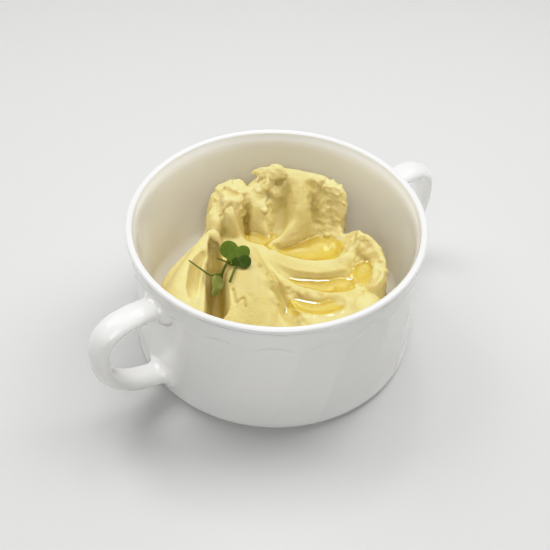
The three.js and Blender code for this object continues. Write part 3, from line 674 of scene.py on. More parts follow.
def handle_loop(settings, side):
    """An oval strap swept round a squarish loop, which runs into the wall by a fillet."""
    fillet = settings.handle_fillet / MM
    # Close steps where the fillet swells, wider ones beyond it, even angles round the outer bend.
    near_wall = np.concatenate([[0], np.arange(1.3, 5.0, 0.2), np.arange(5.2, 9, 0.5)])
    entry = np.arccos((near_wall / HANDLE_REACH) ** (1 / HANDLE_POWER))
    upper = np.concatenate([entry, np.linspace(entry[-1], 0, HANDLE_BEND_STEPS)[1:]])
    angles = np.concatenate([upper, -upper[-2::-1]])
    turn = TAU * np.arange(HANDLE_SIDES) / HANDLE_SIDES
    shell = Shell()
    shell.open(handle_middle(angles[0], side))
    for angle in angles:
        centre = handle_middle(angle, side)
        along = handle_middle(max(angle - 0.01, -math.pi / 2), side)
        along = along - handle_middle(min(angle + 0.01, math.pi / 2), side)
        along /= np.linalg.norm(along)
        normal = np.cross((0, 1, 0), along)
        reach = (np.outer(HANDLE_THICKNESS / 2 * np.cos(turn), normal)
                 + np.outer(HANDLE_WIDTH / 2 * np.sin(turn), (0, 1, 0)))
        points = centre + reach
        clear = np.hypot(points[:, 0], points[:, 1]) - wall_radius_at(points[:, 2])
        near = np.clip(fillet - clear, 0, fillet)
        swell = fillet - np.sqrt(fillet ** 2 - near ** 2)
        points += reach / np.linalg.norm(reach, axis=1)[:, None] * swell[:, None]
        radius = np.hypot(points[:, 0], points[:, 1])
        fit = np.maximum(wall_radius_at(points[:, 2]) - HANDLE_ROOT_DEPTH, radius) / radius
        points[:, :2] *= fit[:, None]
        shell.ring(points)
    shell.close(handle_middle(angles[-1], side))
    return shell.mesh("handle")


def recalculate_outside(mesh):
    """Turns the faces of a closed mesh outward."""
    work = bmesh.new()
    work.from_mesh(mesh)
    bmesh.ops.recalc_face_normals(work, faces=work.faces)
    work.to_mesh(mesh)
    work.free()
    mesh.update()


def apply_modifiers(piece):
    """Bakes a piece's modifiers into its mesh."""
    bpy.context.view_layer.update()
    evaluated = piece.evaluated_get(bpy.context.evaluated_depsgraph_get())
    mesh = bpy.data.meshes.new_from_object(evaluated)
    piece.modifiers.clear()
    old = piece.data
    piece.data = mesh
    bpy.data.meshes.remove(old)
    mesh.shade_smooth()


def join_handles(cup, handles):
    """Fuses the handles into the cup as one fired piece."""
    for handle in handles:
        union = cup.modifiers.new("join", "BOOLEAN")
        union.operation = "UNION"
        union.solver = "MANIFOLD"
        union.object = handle
    apply_modifiers(cup)
    for handle in handles:
        bpy.data.objects.remove(handle)


# ---------------------------------------------------------------- the heap
def around_outline(column):
    """Smooth periodic curve through the outline's values, without overshoot between them."""
    count = len(OUTLINE)
    bearing = np.array([row[0] for row in OUTLINE] + [OUTLINE[0][0] + 360], float)
    value = np.array([row[column] for row in OUTLINE] + [OUTLINE[0][column]], float)
    rise = np.diff(value) / np.diff(bearing)
    before = np.roll(rise, 1)
    flat = before * rise <= 0
    slope = np.where(flat, 0, 2 * before * rise / np.where(flat, 1, before + rise))
    slope = np.append(slope, slope[0])

    def curve(angle):
        place = bearing[0] + (np.degrees(angle) - bearing[0]) % 360
        k = np.clip(np.searchsorted(bearing, place, side="right") - 1, 0, count - 1)
        span = bearing[k + 1] - bearing[k]
        t = (place - bearing[k]) / span
        u = 1 - t
        return (value[k] * u * u * (1 + 2 * t) + value[k + 1] * t * t * (3 - 2 * t)
                + span * t * u * (slope[k] * u - slope[k + 1] * t))
    return curve


edge_radius = around_outline(1)
edge_height = around_outline(2)


def torn(x, y):
    """How torn the mash is at a place, from CALM to 1."""
    strength = np.full(np.shape(x), CALM)
    for cx, cy, radius, amount in TEARS:
        q = ((x - cx) ** 2 + (y - cy) ** 2) / radius ** 2
        strength = np.maximum(strength, amount * np.exp(-q * q))
    return strength


def crumble(x, y):
    """Uneven ground on the torn places, in two sizes."""
    high, across, along, seed = COARSE_CRUMBLE
    coarse = high * noise((x + CRUMBLE_SLANT * y) / across, y / along, seed)
    high, across, along, seed = FINE_CRUMBLE
    fine = high * noise(x / across, y / along, seed)
    return torn(x, y) * (coarse + fine)


def apply_stroke(height, stroke, x, y):
    """The height after one stroke: lumps and rolls add to it, scoops and cuts take from it."""
    form = stroke[0]
    if form == "lump":
        _, middle, half, turn, power, blend = stroke
        c, s = math.cos(math.radians(turn)), math.sin(math.radians(turn))
        dx, dy = x - middle[0], y - middle[1]
        u, v = (dx * c + dy * s) / half[0], (dy * c - dx * s) / half[1]
        return soft_max(height, middle[2] - LUMP_FALL * (u * u + v * v) ** power, blend)
    if form == "cut":
        _, depth, half, path, power = stroke
        distance, _, _ = nearest(catmull(path), x, y)
        return height - depth * np.exp(-((distance / half) ** power))
    _, half, path, power, blend = stroke
    distance, level, share = nearest(catmull(path), x, y)
    width = half[0] + (half[1] - half[0]) * share
    bend = PATH_FALL * (distance / width) ** power
    if form == "roll":
        return soft_max(height, level - bend, blend)
    return soft_min(height, level + bend, blend)


def top_height(x, y):
    """Height of the worked top before the edge of the heap rounds off."""
    bearing = np.arctan2(y, x)
    share = (np.hypot(x, y) - HUB_RADIUS) / (edge_radius(bearing) - HUB_RADIUS)
    height = HUB_HEIGHT + (edge_height(bearing) - HUB_HEIGHT) * smooth(share)
    for stroke in STROKES:
        height = apply_stroke(height, stroke, x, y)
    return height + crumble(x, y)


def shoulder_drop(share):
    return (1 - np.minimum(share, 1) ** SHOULDER) ** (1 / SHOULDER)


def heap_height(x, y):
    """Height of the heap's surface at a place inside its outline."""
    share = np.hypot(x, y) / edge_radius(np.arctan2(y, x))
    return FOOT_HEIGHT + (top_height(x, y) - FOOT_HEIGHT) * shoulder_drop(share)


def heap_ring(count, share, drop):
    bearing = TAU * np.arange(count) / count
    r = edge_radius(bearing) * share
    x, y = r * np.cos(bearing), r * np.sin(bearing)
    z = FOOT_HEIGHT + (top_height(x, y) - FOOT_HEIGHT) * drop
    fit = np.minimum(r, inner_radius_at(z) - CUP_GAP) / r
    return np.stack([x * fit, y * fit, z], 1)


def heap_shell(cell):
    """The heap in rings: over the worked top, down the flank, and round the cup's floor."""
    shell = Shell()
    zero = np.zeros(1)
    shell.open((0, 0, float(top_height(zero, zero)[0])))
    rings = round(SHOULDER_START * TOP_REACH / cell)
    for k in range(1, rings + 1):
        share = SHOULDER_START * k / rings
        shell.ring(heap_ring(6 * k, share, shoulder_drop(share)))
    levels = round(float(shoulder_drop(SHOULDER_START)) * FLANK_HEIGHT / cell)
    most = 6 * rings
    for k in range(1, levels + 1):
        drop = float(shoulder_drop(SHOULDER_START)) * (1 - k / levels)
        shell.ring(heap_ring(most, (1 - drop ** SHOULDER) ** (1 / SHOULDER), drop))
    bearing = TAU * np.arange(most) / most
    for radius, z in ((float(inner_radius_at(SKIRT_HEIGHT)) - 2 * CUP_GAP, SKIRT_HEIGHT),
                      (INNER_RADIUS - INNER_CORNER, FLOOR_HEIGHT + CUP_GAP)):
        shell.ring(np.stack([radius * np.cos(bearing), radius * np.sin(bearing), np.full(most, z)], 1))
    shell.close((0, 0, FLOOR_HEIGHT + CUP_GAP))
    return shell


def vertex_array(mesh):
    points = np.empty(len(mesh.vertices) * 3)
    mesh.vertices.foreach_get("co", points)
    return points.reshape(-1, 3) / MM


def set_vertices(mesh, points):
    mesh.vertices.foreach_set("co", (points * MM).ravel())
    mesh.update()


def vertex_normals(mesh):
    normals = np.empty(len(mesh.vertices) * 3)
    mesh.vertex_normals.foreach_get("vector", normals)
    return normals.reshape(-1, 3)


def sweep(path, across, up, lean, sides=16):
    """A rounded form along a path, with its own half width and half height, leaning back by degrees."""
    line = catmull(path, 6)
    at = np.linspace(0, len(path) - 1, len(line))
    wide = np.interp(at, np.arange(len(path)), across)
    high = np.interp(at, np.arange(len(path)), up)
    step = np.gradient(line, axis=0)
    step /= np.linalg.norm(step, axis=1)[:, None]
    turn = TAU * np.arange(sides) / sides
    c, s = math.cos(math.radians(lean)), math.sin(math.radians(lean))
    shell = Shell()
    shell.open(line[0] - step[0] * min(wide[0], high[0]))
    for k, centre in enumerate(line):
        flat = np.cross(step[k], (0, 0, 1))
        flat /= np.linalg.norm(flat)
        rise = np.cross(flat, step[k])
        side = flat * c - rise * s
        lift = rise * c + flat * s
        shell.ring(centre + np.outer(wide[k] * np.cos(turn), side) + np.outer(high[k] * np.sin(turn), lift))
    shell.close(line[-1] + step[-1] * min(wide[-1], high[-1]))
    return shell.form()


def ball():
    """Points and triangles of a round ball."""
    work = bmesh.new()
    bmesh.ops.create_icosphere(work, subdivisions=2, radius=1)
    points = np.array([tuple(v.co) for v in work.verts])
    faces = [[v.index for v in face.verts] for face in work.faces]
    work.free()
    return points, faces


def crumb(unit, scale, radius, turn, shift):
    """One uneven crumb round the origin; its shift in the noise makes it unlike the others."""
    p = turned(unit * scale * radius, turn)
    return p + CRUMB_UNEVEN * radius * noise_vector(p + shift, radius)


def rest_on_heap(points, x, y, sunk):
    """Sets a crumb down on the heap, sunk into it."""
    ground = float(heap_height(np.array([x]), np.array([y]))[0])
    return points + (x, y, ground - sunk)


def crumbs():
    """Small uneven crumbs scattered over the torn places, half sunk in them."""
    random = np.random.default_rng(CRUMB_SEED)
    unit, faces = ball()
    forms = []
    while len(forms) < CRUMB_COUNT:
        x, y = random.uniform(-CRUMB_REACH, CRUMB_REACH, 2)
        chance, size, turn = random.uniform(0, 1, 3)
        scale = random.uniform(*CRUMB_STRETCH, 3)
        share = math.hypot(x, y) / float(edge_radius(math.atan2(y, x)))
        if share > CRUMB_SHARE or torn(x, y) < CRUMB_TORN + CRUMB_CHANCE * chance:
            continue
        radius = CRUMB_RADIUS + CRUMB_SPREAD * size ** 2
        points = crumb(unit, scale, radius, TAU * turn, 7.0 * len(forms))
        forms.append((rest_on_heap(points, x, y, CRUMB_SUNK * radius), faces))
    return forms


def edge_crumbs():
    """Crumbs along the torn edges of the strokes."""
    random = np.random.default_rng(EDGE_SEED)
    unit, faces = ball()
    forms = []
    for count, path in CRUMBLY_EDGES:
        line = catmull(path)
        for _ in range(count):
            x, y, _ = line[random.integers(len(line))]
            size, side, shift = random.uniform(0, 1, 3)
            scale = random.uniform(*CRUMB_STRETCH, 3)
            x, y = x + EDGE_SCATTER * (side - 0.5), y + EDGE_SCATTER * (shift - 0.5)
            radius = EDGE_RADIUS + EDGE_SPREAD * size ** 2
            points = crumb(unit, scale, radius, 0, 5.0 * len(forms))
            forms.append((rest_on_heap(points, x, y, EDGE_SUNK * radius), faces))
    return forms


def join_forms(name, forms, angle=0):
    """One mesh of several forms, turned round the upright axis."""
    faces, count = [], 0
    for p, f in forms:
        faces.extend([[v + count for v in face] for face in f])
        count += len(p)
    return mesh_from(name, turned(np.concatenate([p for p, _ in forms]), angle), faces)


def fuse(piece, cell):
    """Melts everything in a piece into one skin of even cells."""
    remesh = piece.modifiers.new("fuse", "REMESH")
    remesh.mode = "VOXEL"
    remesh.voxel_size = cell
    soften = piece.modifiers.new("soften", "SMOOTH")
    soften.factor = 0.5
    soften.iterations = 3
    apply_modifiers(piece)


def thin_out(piece, most):
    """Takes triangles away where the skin is flat, down to a count."""
    triangles = sum(len(face.vertices) - 2 for face in piece.data.polygons)
    if triangles > most:
        decimate = piece.modifiers.new("thin out", "DECIMATE")
        decimate.ratio = most / triangles
        apply_modifiers(piece)


def relief(points, layers):
    return sum(height * solid_noise(points, size, seed) for height, size, seed in layers)


def roughen(mesh, settings):
    """Gives the fused skin its lumps, grain, pits and fissures, along its normals."""
    points = vertex_array(mesh)
    strength = np.clip((torn(points[:, 0], points[:, 1]) - TORN_START) / TORN_RANGE, 0, 1)
    upper = smooth((points[:, 2] - RELIEF_BOTTOM) / RELIEF_RISE)
    calm = 1 - WET_CALM * wetness(points)
    push = settings.crumb_height / MM * strength * relief(points, TORN_RELIEF) + relief(points, CALM_RELIEF)
    push *= upper * calm
    for middle, radius, depth in PITS:
        q = ((points - middle) ** 2).sum(1) / radius ** 2
        push -= depth * np.exp(-q * q)
    for depth, half, path in FISSURES:
        distance, _, _ = nearest(catmull(path), points[:, 0], points[:, 1])
        push -= depth * upper * np.exp(-((distance / half) ** 2))
    moved = points + vertex_normals(mesh) * push[:, None]
    radius = np.hypot(moved[:, 0], moved[:, 1])
    fit = np.minimum(1, (inner_radius_at(moved[:, 2]) - CUP_GAP) / np.maximum(radius, 1e-6))
    moved[:, :2] *= fit[:, None]
    moved[:, 2] = np.maximum(moved[:, 2], FLOOR_HEIGHT + CUP_GAP)
    set_vertices(mesh, moved)


def hollowness(points):
    """How deep a place lies under the mean height round it, for the painted shade: 0 on open crests, 1 deep
    down.
    """
    axis = np.arange(-HOLLOW_REACH, HOLLOW_REACH + HOLLOW_CELL, HOLLOW_CELL)
    gx, gy = np.meshgrid(axis, axis, indexing="ij")
    inside = np.hypot(gx, gy) < edge_radius(np.arctan2(gy, gx))
    with np.errstate(all="ignore"):
        height = np.where(inside, np.nan_to_num(heap_height(gx, gy)), FOOT_HEIGHT + HOLLOW_GROUND)
    mean = height.copy()
    for _ in range(HOLLOW_SPREAD):
        for direction in (0, 1):
            mean = (np.roll(mean, 1, direction) + 2 * mean + np.roll(mean, -1, direction)) / 4
    u = (points[:, 0] + HOLLOW_REACH) / HOLLOW_CELL
    v = (points[:, 1] + HOLLOW_REACH) / HOLLOW_CELL
    i, j = np.floor(u).astype(int), np.floor(v).astype(int)
    s, t = u - i, v - j
    around = ((mean[i, j] * (1 - s) + mean[i + 1, j] * s) * (1 - t)
              + (mean[i, j + 1] * (1 - s) + mean[i + 1, j + 1] * s) * t)
    above_skirt = smooth((points[:, 2] - SHADE_BOTTOM) / SHADE_RISE)
    return above_skirt * np.clip(0.5 + (around - points[:, 2]) / HOLLOW_DEPTH / 2, 0, 1)


def paint(mesh, name, values):
    attribute = mesh.attributes.new(name, "FLOAT", "POINT")
    attribute.data.foreach_set("value", np.asarray(values, np.float32))


def pool_share(x, y, name):
    """1 in the middle of a pool's oval and 0 at its edge."""
    (px, py), _, (rx, ry), turn = POOLS[name]
    c, s = math.cos(math.radians(turn)), math.sin(math.radians(turn))
    dx, dy = x - px, y - py
    return 1 - np.hypot((dx * c + dy * s) / rx, (dy * c - dx * s) / ry)


def wetness(points):
    """How much oil lies on the mash: 1 in and beside the pools, less away from them."""
    wet = np.zeros(len(points))
    for name, (_, level, _, _) in POOLS.items():
        near = smooth((pool_share(points[:, 0], points[:, 1], name) + WET_PAST) / WET_PAST_FADE)
        low = smooth((level + WET_ABOVE - points[:, 2]) / WET_ABOVE_FADE)
        wet = np.maximum(wet, near * low)
    return wet


def soak_and_shade(points):
    """How deep the oil has soaked in along the streaks, partly painted shade on shaded flanks."""
    soak_shade = np.zeros(len(points))
    for strength, half, path in SOAK_SHADE_STREAKS:
        distance, _, _ = nearest(catmull(path), points[:, 0], points[:, 1])
        soak_shade = np.maximum(soak_shade, strength * np.exp(-((distance / half) ** 2)))
    return soak_shade


# ---------------------------------------------------------------- pools of oil
def pool_mesh(name, settings):
    """The region of a fine grid where the mash lies below the oil, as a closed lens with a meniscus."""
    (px, py), level, (rx, ry), _ = POOLS[name]
    cell = settings.cell / MM
    climb = settings.meniscus / MM
    reach = max(rx, ry) + 1
    axis = np.arange(-reach, reach + cell, cell)
    gx, gy = np.meshgrid(px + axis, py + axis, indexing="ij")
    floor = heap_height(gx, gy)
    inside = smooth(pool_share(gx, gy, name) / SHORE_BAND) - 0.5
    depth = np.minimum(level + climb - floor, inside * 2)
    surface = level + climb * np.exp(-np.maximum(level + climb - floor, 0) / climb)
    surface += RIPPLE_HEIGHT * noise(gx / RIPPLE_LENGTH, gy / RIPPLE_LENGTH, RIPPLE_SEED)
    surface = np.where(inside < 0.5, floor + (surface - floor) * smooth(inside * 2), surface)
    middle = round(reach / cell)
    keep = joined_region(depth > 0, (middle, middle))
    depth = np.where(keep | (depth <= 0), depth, -0.01)
    return clip_grid(name, gx, gy, depth, surface, floor)


def joined_region(mask, middle):
    """The part of a mask that hangs together with its cell nearest to the middle."""
    cells = np.argwhere(mask)
    start = cells[np.argmin(((cells - np.array(middle)) ** 2).sum(1))]
    region = np.zeros_like(mask)
    region[tuple(start)] = True
    while True:
        grown = region.copy()
        grown[1:] |= region[:-1]
        grown[:-1] |= region[1:]
        grown[:, 1:] |= region[:, :-1]
        grown[:, :-1] |= region[:, 1:]
        grown &= mask
        if (grown == region).all():
            return region
        region = grown


def clip_grid(name, gx, gy, depth, surface, floor):
    """Triangles of the grid where depth is above zero, cut along its zero line, top and bottom."""
    points, faces, index = [], [], {}

    def vertex(key, top):
        """A grid point, or the shore point on the edge between two grid points."""
        shore = isinstance(key[0], tuple)
        full = (key, top or shore)
        if full not in index:
            index[full] = len(points)
            if shore:
                a, b = key
                t = depth[a] / (depth[a] - depth[b])
                x = gx[a] + t * (gx[b] - gx[a])
                y = gy[a] + t * (gy[b] - gy[a])
                z = floor[a] + t * (floor[b] - floor[a]) - SHORE_SINK
            else:
                x, y = gx[key], gy[key]
                z = surface[key] if top else floor[key] - POOL_SINK
            points.append((x, y, z))
        return index[full]

    rows, columns = depth.shape
    for i in range(rows - 1):
        for j in range(columns - 1):
            for corners in (((i, j), (i + 1, j), (i + 1, j + 1)), ((i, j), (i + 1, j + 1), (i, j + 1))):
                wet = [depth[c] > 0 for c in corners]
                if not any(wet):
                    continue
                loop = []
                for k in range(3):
                    a, b = corners[k], corners[(k + 1) % 3]
                    if wet[k]:
                        loop.append(a)
                    if wet[k] != wet[(k + 1) % 3]:
                        loop.append((a, b) if wet[k] else (b, a))
                faces.append([vertex(key, True) for key in loop])
                faces.append([vertex(key, False) for key in loop][::-1])
    return mesh_from(name, turned(points, SERVING_TURN), faces)


# ---------------------------------------------------------------- sprouts
def seed_leaf(settings, base, left, right, radii, curl=0.7, wave=0.25, taper=0.42, melt=0.25):
    """A heart-shaped seed leaf with two round lobes and a taper to the stalk, as a thin cupped sheet."""
    stalk, a, b = (np.array(p, float) for p in (base, left, right))
    middle = (a + b) / 2
    back = stalk - middle
    across = (b - a) / np.linalg.norm(b - a)
    normal = np.cross(back, across)
    normal /= np.linalg.norm(normal)
    if normal[2] < 0:
        normal = -normal
    along = np.cross(normal, across)
    stalk_angle = math.atan2(back @ along, back @ across)
    offsets = [np.array([(p - middle) @ across, (p - middle) @ along]) for p in (a, b)]
    angle = TAU * np.arange(LEAF_DIRECTIONS) / LEAF_DIRECTIONS
    direction = np.stack([np.cos(angle), np.sin(angle)], 1)
    reach = []
    for offset, radius in zip(offsets, radii):
        d = direction @ offset
        reach.append(d + np.sqrt(np.maximum(radius ** 2 - offset @ offset + d * d, 0)))
    off = np.arctan2(np.sin(angle - stalk_angle), np.cos(angle - stalk_angle))
    lobes = soft_max(reach[0], reach[1], melt)
    edge = np.maximum(lobes, np.linalg.norm(back) * np.exp(-((off / taper) ** 2)))
    half = settings.thickness / MM / 2

    def ring(share, lift):
        r = edge * share
        height = curl * share * share * np.cos(2 * (angle - stalk_angle)) * -0.5
        height = height + wave * share * np.sin(3 * angle) + lift
        height = height - VEIN_DEPTH * np.exp(-((off / VEIN_WIDTH) ** 2)) * share
        return (middle + np.outer(r * np.cos(angle), across) + np.outer(r * np.sin(angle), along)
                + np.outer(height, normal))

    shell = Shell()
    shell.open(middle + normal * half)
    shares = np.linspace(0, 1, LEAF_RINGS)[1:]
    for share in shares[:-1]:
        shell.ring(ring(share, half))
    shell.ring(ring(LEAF_RIM, half * LEAF_RIM_THIN))
    shell.ring(ring(1.0, 0))
    shell.ring(ring(LEAF_RIM, -half * LEAF_RIM_THIN))
    for share in shares[-2::-1]:
        shell.ring(ring(share, -half))
    shell.close(middle - normal * half)
    return shell


def stalk_shell(path, radii, sides=20):
    """A tapering round stalk along a path, with rounded ends."""
    line = catmull(path, 14)
    shell = Shell()
    step = np.gradient(line, axis=0)
    step /= np.linalg.norm(step, axis=1)[:, None]
    side = np.cross(step[0], (0.3, 0.2, 0.9))
    turn = TAU * np.arange(sides) / sides
    share = np.linspace(0, 1, len(line))
    radius = radii[0] + (radii[1] - radii[0]) * share
    shell.open(line[0] - step[0] * radius[0] * STALK_END)
    for k, centre in enumerate(line):
        side = side - step[k] * (side @ step[k])
        side /= np.linalg.norm(side)
        other = np.cross(step[k], side)
        shell.ring(centre + radius[k] * (np.outer(np.cos(turn), side) + np.outer(np.sin(turn), other)))
    shell.close(line[-1] + step[-1] * radius[-1] * STALK_END)
    return shell


def sprout_mesh(name, settings):
    """A seed leaf with its stalks; the leaf's points are marked, for its colour."""
    spec = SPROUTS[name]
    leaf = seed_leaf(settings, **spec["leaf"])
    shells = [leaf] + [stalk_shell(path, radii) for path, radii in spec["stalks"]]
    mesh = join_forms(name, [shell.form() for shell in shells], SERVING_TURN)
    paint(mesh, "leaf", np.arange(len(mesh.vertices)) < leaf.count)
    recalculate_outside(mesh)
    return mesh


# ---------------------------------------------------------------- materials
def new_material(name):
    material = bpy.data.materials.new(name)
    material.use_nodes = True
    tree = material.node_tree
    tree.nodes.clear()
    output = tree.nodes.new("ShaderNodeOutputMaterial")
    shader = tree.nodes.new("ShaderNodeBsdfPrincipled")
    tree.links.new(shader.outputs["BSDF"], output.inputs["Surface"])
    return material, tree, shader


def tint(colour, factors):
    return tuple(v * k for v, k in zip(colour, factors))


def colour_mix(tree, a, b, factor):
    """A node that mixes two colours, each a colour or a socket, by the node's own colour sockets."""
    mix = tree.nodes.new("ShaderNodeMix")
    mix.data_type = "RGBA"
    for socket, value in ((mix.inputs[6], a), (mix.inputs[7], b)):
        if isinstance(value, bpy.types.NodeSocket):
            tree.links.new(value, socket)
        else:
            socket.default_value = (*value, 1)
    tree.links.new(factor, mix.inputs[0])
    return mix.outputs[2]


def mottle_group():
    """Soft mottling: a mask of cloudy patches and a finer grain height, at given sizes."""
    tree = bpy.data.node_groups.new("mottle", "ShaderNodeTree")
    for name, default in (("Patch Scale", 200.0), ("Grain Scale", 1500.0)):
        socket = tree.interface.new_socket(name, in_out="INPUT", socket_type="NodeSocketFloat")
        socket.default_value = default
    for name in ("Patch", "Grain"):
        tree.interface.new_socket(name, in_out="OUTPUT", socket_type="NodeSocketFloat")
    inlet = tree.nodes.new("NodeGroupInput")
    outlet = tree.nodes.new("NodeGroupOutput")
    place = tree.nodes.new("ShaderNodeTexCoord")
    for output, scale, detail in (("Patch", "Patch Scale", 3.0), ("Grain", "Grain Scale", 5.0)):
        texture = tree.nodes.new("ShaderNodeTexNoise")
        texture.inputs["Detail"].default_value = detail
        texture.inputs["Roughness"].default_value = 0.55
        tree.links.new(place.outputs["Object"], texture.inputs["Vector"])
        tree.links.new(inlet.outputs[scale], texture.inputs["Scale"])
        spread = tree.nodes.new("ShaderNodeMapRange")
        spread.inputs["From Min"].default_value = 0.3
        spread.inputs["From Max"].default_value = 0.7
        tree.links.new(texture.outputs["Fac"], spread.inputs["Value"])
        tree.links.new(spread.outputs["Result"], outlet.inputs[output])
    return tree


def add_mottle(tree, patch, grain):
    """Places the shared mottling in a material and returns its patches and its grain."""
    node = tree.nodes.new("ShaderNodeGroup")
    node.node_tree = bpy.data.node_groups.get("mottle") or mottle_group()
    node.inputs["Patch Scale"].default_value = patch
    node.inputs["Grain Scale"].default_value = grain
    return node.outputs["Patch"], node.outputs["Grain"]


def add_bump(tree, shader, height, strength, distance):
    bump = tree.nodes.new("ShaderNodeBump")
    bump.inputs["Strength"].default_value = strength
    bump.inputs["Distance"].default_value = distance
    tree.links.new(height, bump.inputs["Height"])
    tree.links.new(bump.outputs["Normal"], shader.inputs["Normal"])


def attribute(tree, name):
    node = tree.nodes.new("ShaderNodeAttribute")
    node.attribute_name = name
    return node.outputs["Fac"]


def map_range(tree, value, low, high, to_low=0.0, to_high=1.0):
    node = tree.nodes.new("ShaderNodeMapRange")
    node.inputs["From Min"].default_value = low
    node.inputs["From Max"].default_value = high
    node.inputs["To Min"].default_value = to_low
    node.inputs["To Max"].default_value = to_high
    tree.links.new(value, node.inputs["Value"])
    return node.outputs["Result"]


def porcelain_material(settings):
    material, tree, shader = new_material("porcelain")
    patch, grain = add_mottle(tree, patch=28.0, grain=420.0)
    warm = tint(settings.body_colour, (1.0, 0.99, 0.965))
    tree.links.new(colour_mix(tree, settings.body_colour, warm, patch), shader.inputs["Base Color"])
    gloss = settings.roughness
    tree.links.new(map_range(tree, grain, 0, 1, gloss, gloss + 0.05), shader.inputs["Roughness"])
    add_bump(tree, shader, patch, strength=0.25, distance=0.2 * MM)
    shader.inputs["IOR"].default_value = 1.5
    shader.inputs["Coat Weight"].default_value = 0.6
    shader.inputs["Coat Roughness"].default_value = 0.05
    return material


def mash_material(settings):
    """Moist mash: drier on torn crests, oily where soaked, painted shade in hollows and on shaded flanks."""
    material, tree, shader = new_material("mash")
    patch, grain = add_mottle(tree, patch=260.0, grain=1500.0)
    wet, soak_shade, dry, hollow = (attribute(tree, name) for name in ("wet", "soak_shade", "torn", "hollow"))
    colour = colour_mix(tree, settings.colour, settings.dry_colour, dry)
    # Each layer covers those before it: colour, mask, where the mask sets in and is full, strength.
    for layer, mask, low, high, strength in (
            (tint(settings.colour, (0.97, 0.95, 0.86)), patch, 0, 1, 0.6),
            # The two hollow layers are painted shade in the hollows and clefts.
            (settings.oil_and_shade_colour, hollow, 0.4, 0.8, 0.6),
            (settings.cleft_shade_colour, hollow, 0.8, 1.0, 0.75),
            # The streak layer is oil soaked in and partly painted shade on shaded flanks and channels.
            (settings.oil_and_shade_colour, soak_shade, 0, 1, 0.48),
            (settings.oil_and_shade_colour, wet, 0.2, 1.0, 0.9)):
        colour = colour_mix(tree, colour, layer, map_range(tree, mask, low, high, 0, strength))
    # Painted shade: the mash under oil in the deepest hollows is darkened, where the walls shade it.
    shaded_oil = tree.nodes.new("ShaderNodeMath")
    shaded_oil.operation = "MULTIPLY"
    tree.links.new(wet, shaded_oil.inputs[0])
    tree.links.new(map_range(tree, hollow, 0.55, 0.95, 0, 0.8), shaded_oil.inputs[1])
    colour = colour_mix(tree, colour, settings.shaded_oil_colour, shaded_oil.outputs[0])
    tree.links.new(colour, shader.inputs["Base Color"])
    tree.links.new(map_range(tree, wet, 0.1, 0.8, 0.52, 0.22), shader.inputs["Roughness"])
    tree.links.new(map_range(tree, wet, 0.35, 0.8, 0.0, 0.9), shader.inputs["Coat Weight"])
    shader.inputs["Coat Roughness"].default_value = 0.06
    shader.inputs["Subsurface Weight"].default_value = 0.6
    shader.inputs["Subsurface Radius"].default_value = (1.0, 0.7, 0.25)
    shader.inputs["Subsurface Scale"].default_value = 1.3 * MM
    shader.inputs["IOR"].default_value = 1.4
    add_bump(tree, shader, grain, strength=0.5, distance=0.25 * MM)
    return material


def oil_material(settings):
    """Clear golden oil, which lets tinted light through to the mash under it."""
    material, tree, shader = new_material("oil")
    patch, _ = add_mottle(tree, patch=120.0, grain=900.0)
    deep = tint(settings.colour, (0.97, 0.95, 0.82))
    tree.links.new(colour_mix(tree, settings.colour, deep, patch), shader.inputs["Base Color"])
    shader.inputs["Roughness"].default_value = 0.02
    shader.inputs["IOR"].default_value = 1.47
    shader.inputs["Transmission Weight"].default_value = 1.0
    add_bump(tree, shader, patch, strength=0.12, distance=0.2 * MM)
    clear = tree.nodes.new("ShaderNodeBsdfTransparent")
    clear.inputs["Color"].default_value = (*settings.colour, 1)
    path = tree.nodes.new("ShaderNodeLightPath")
    mix = tree.nodes.new("ShaderNodeMixShader")
    output = next(n for n in tree.nodes if n.type == "OUTPUT_MATERIAL")
    tree.links.new(path.outputs["Is Shadow Ray"], mix.inputs[0])
    tree.links.new(shader.outputs["BSDF"], mix.inputs[1])
    tree.links.new(clear.outputs[0], mix.inputs[2])
    tree.links.new(mix.outputs[0], output.inputs["Surface"])
    return material


def leaf_material(name, colour, stalk, gloss):
    material, tree, shader = new_material(name)
    patch, grain = add_mottle(tree, patch=700.0, grain=3200.0)
    blade = colour_mix(tree, colour, tint(colour, (1.3, 1.3, 1.3)), patch)
    whole = colour_mix(tree, stalk, blade, attribute(tree, "leaf"))
    tree.links.new(whole, shader.inputs["Base Color"])
    tree.links.new(map_range(tree, grain, 0, 1, gloss, gloss + 0.12), shader.inputs["Roughness"])
    shader.inputs["Specular IOR Level"].default_value = 0.08
    shader.inputs["Subsurface Weight"].default_value = 0.15
    shader.inputs["Subsurface Radius"].default_value = (0.4, 0.8, 0.1)
    shader.inputs["Subsurface Scale"].default_value = 0.6 * MM
    add_bump(tree, shader, grain, strength=0.3, distance=0.12 * MM)
    return material


def floor_material(settings):
    material, tree, shader = new_material("floor")
    patch, _ = add_mottle(tree, patch=6.0, grain=60.0)
    shade = tint(settings.floor_colour, (0.99, 0.99, 0.99))
    tree.links.new(colour_mix(tree, settings.floor_colour, shade, patch), shader.inputs["Base Color"])
    shader.inputs["Roughness"].default_value = 0.6
    return material


# ---------------------------------------------------------------- operators
class BuildCup(bpy.types.Operator):
    """Builds the porcelain soup cup with both handles"""
    bl_idname = "potato.build_cup"
    bl_label = "Soup cup"

    def execute(self, context):
        settings = context.scene.cup_settings
        cup = add_object("soup_cup", cup_body(settings))
        recalculate_outside(cup.data)
        handles = []
        for side in (1, -1):
            handle = add_object("handle", handle_loop(settings, side))
            recalculate_outside(handle.data)
            handles.append(handle)
        join_handles(cup, handles)
        finish_piece(cup, porcelain_material(settings), "porcelain", "bowl")
        return {"FINISHED"}


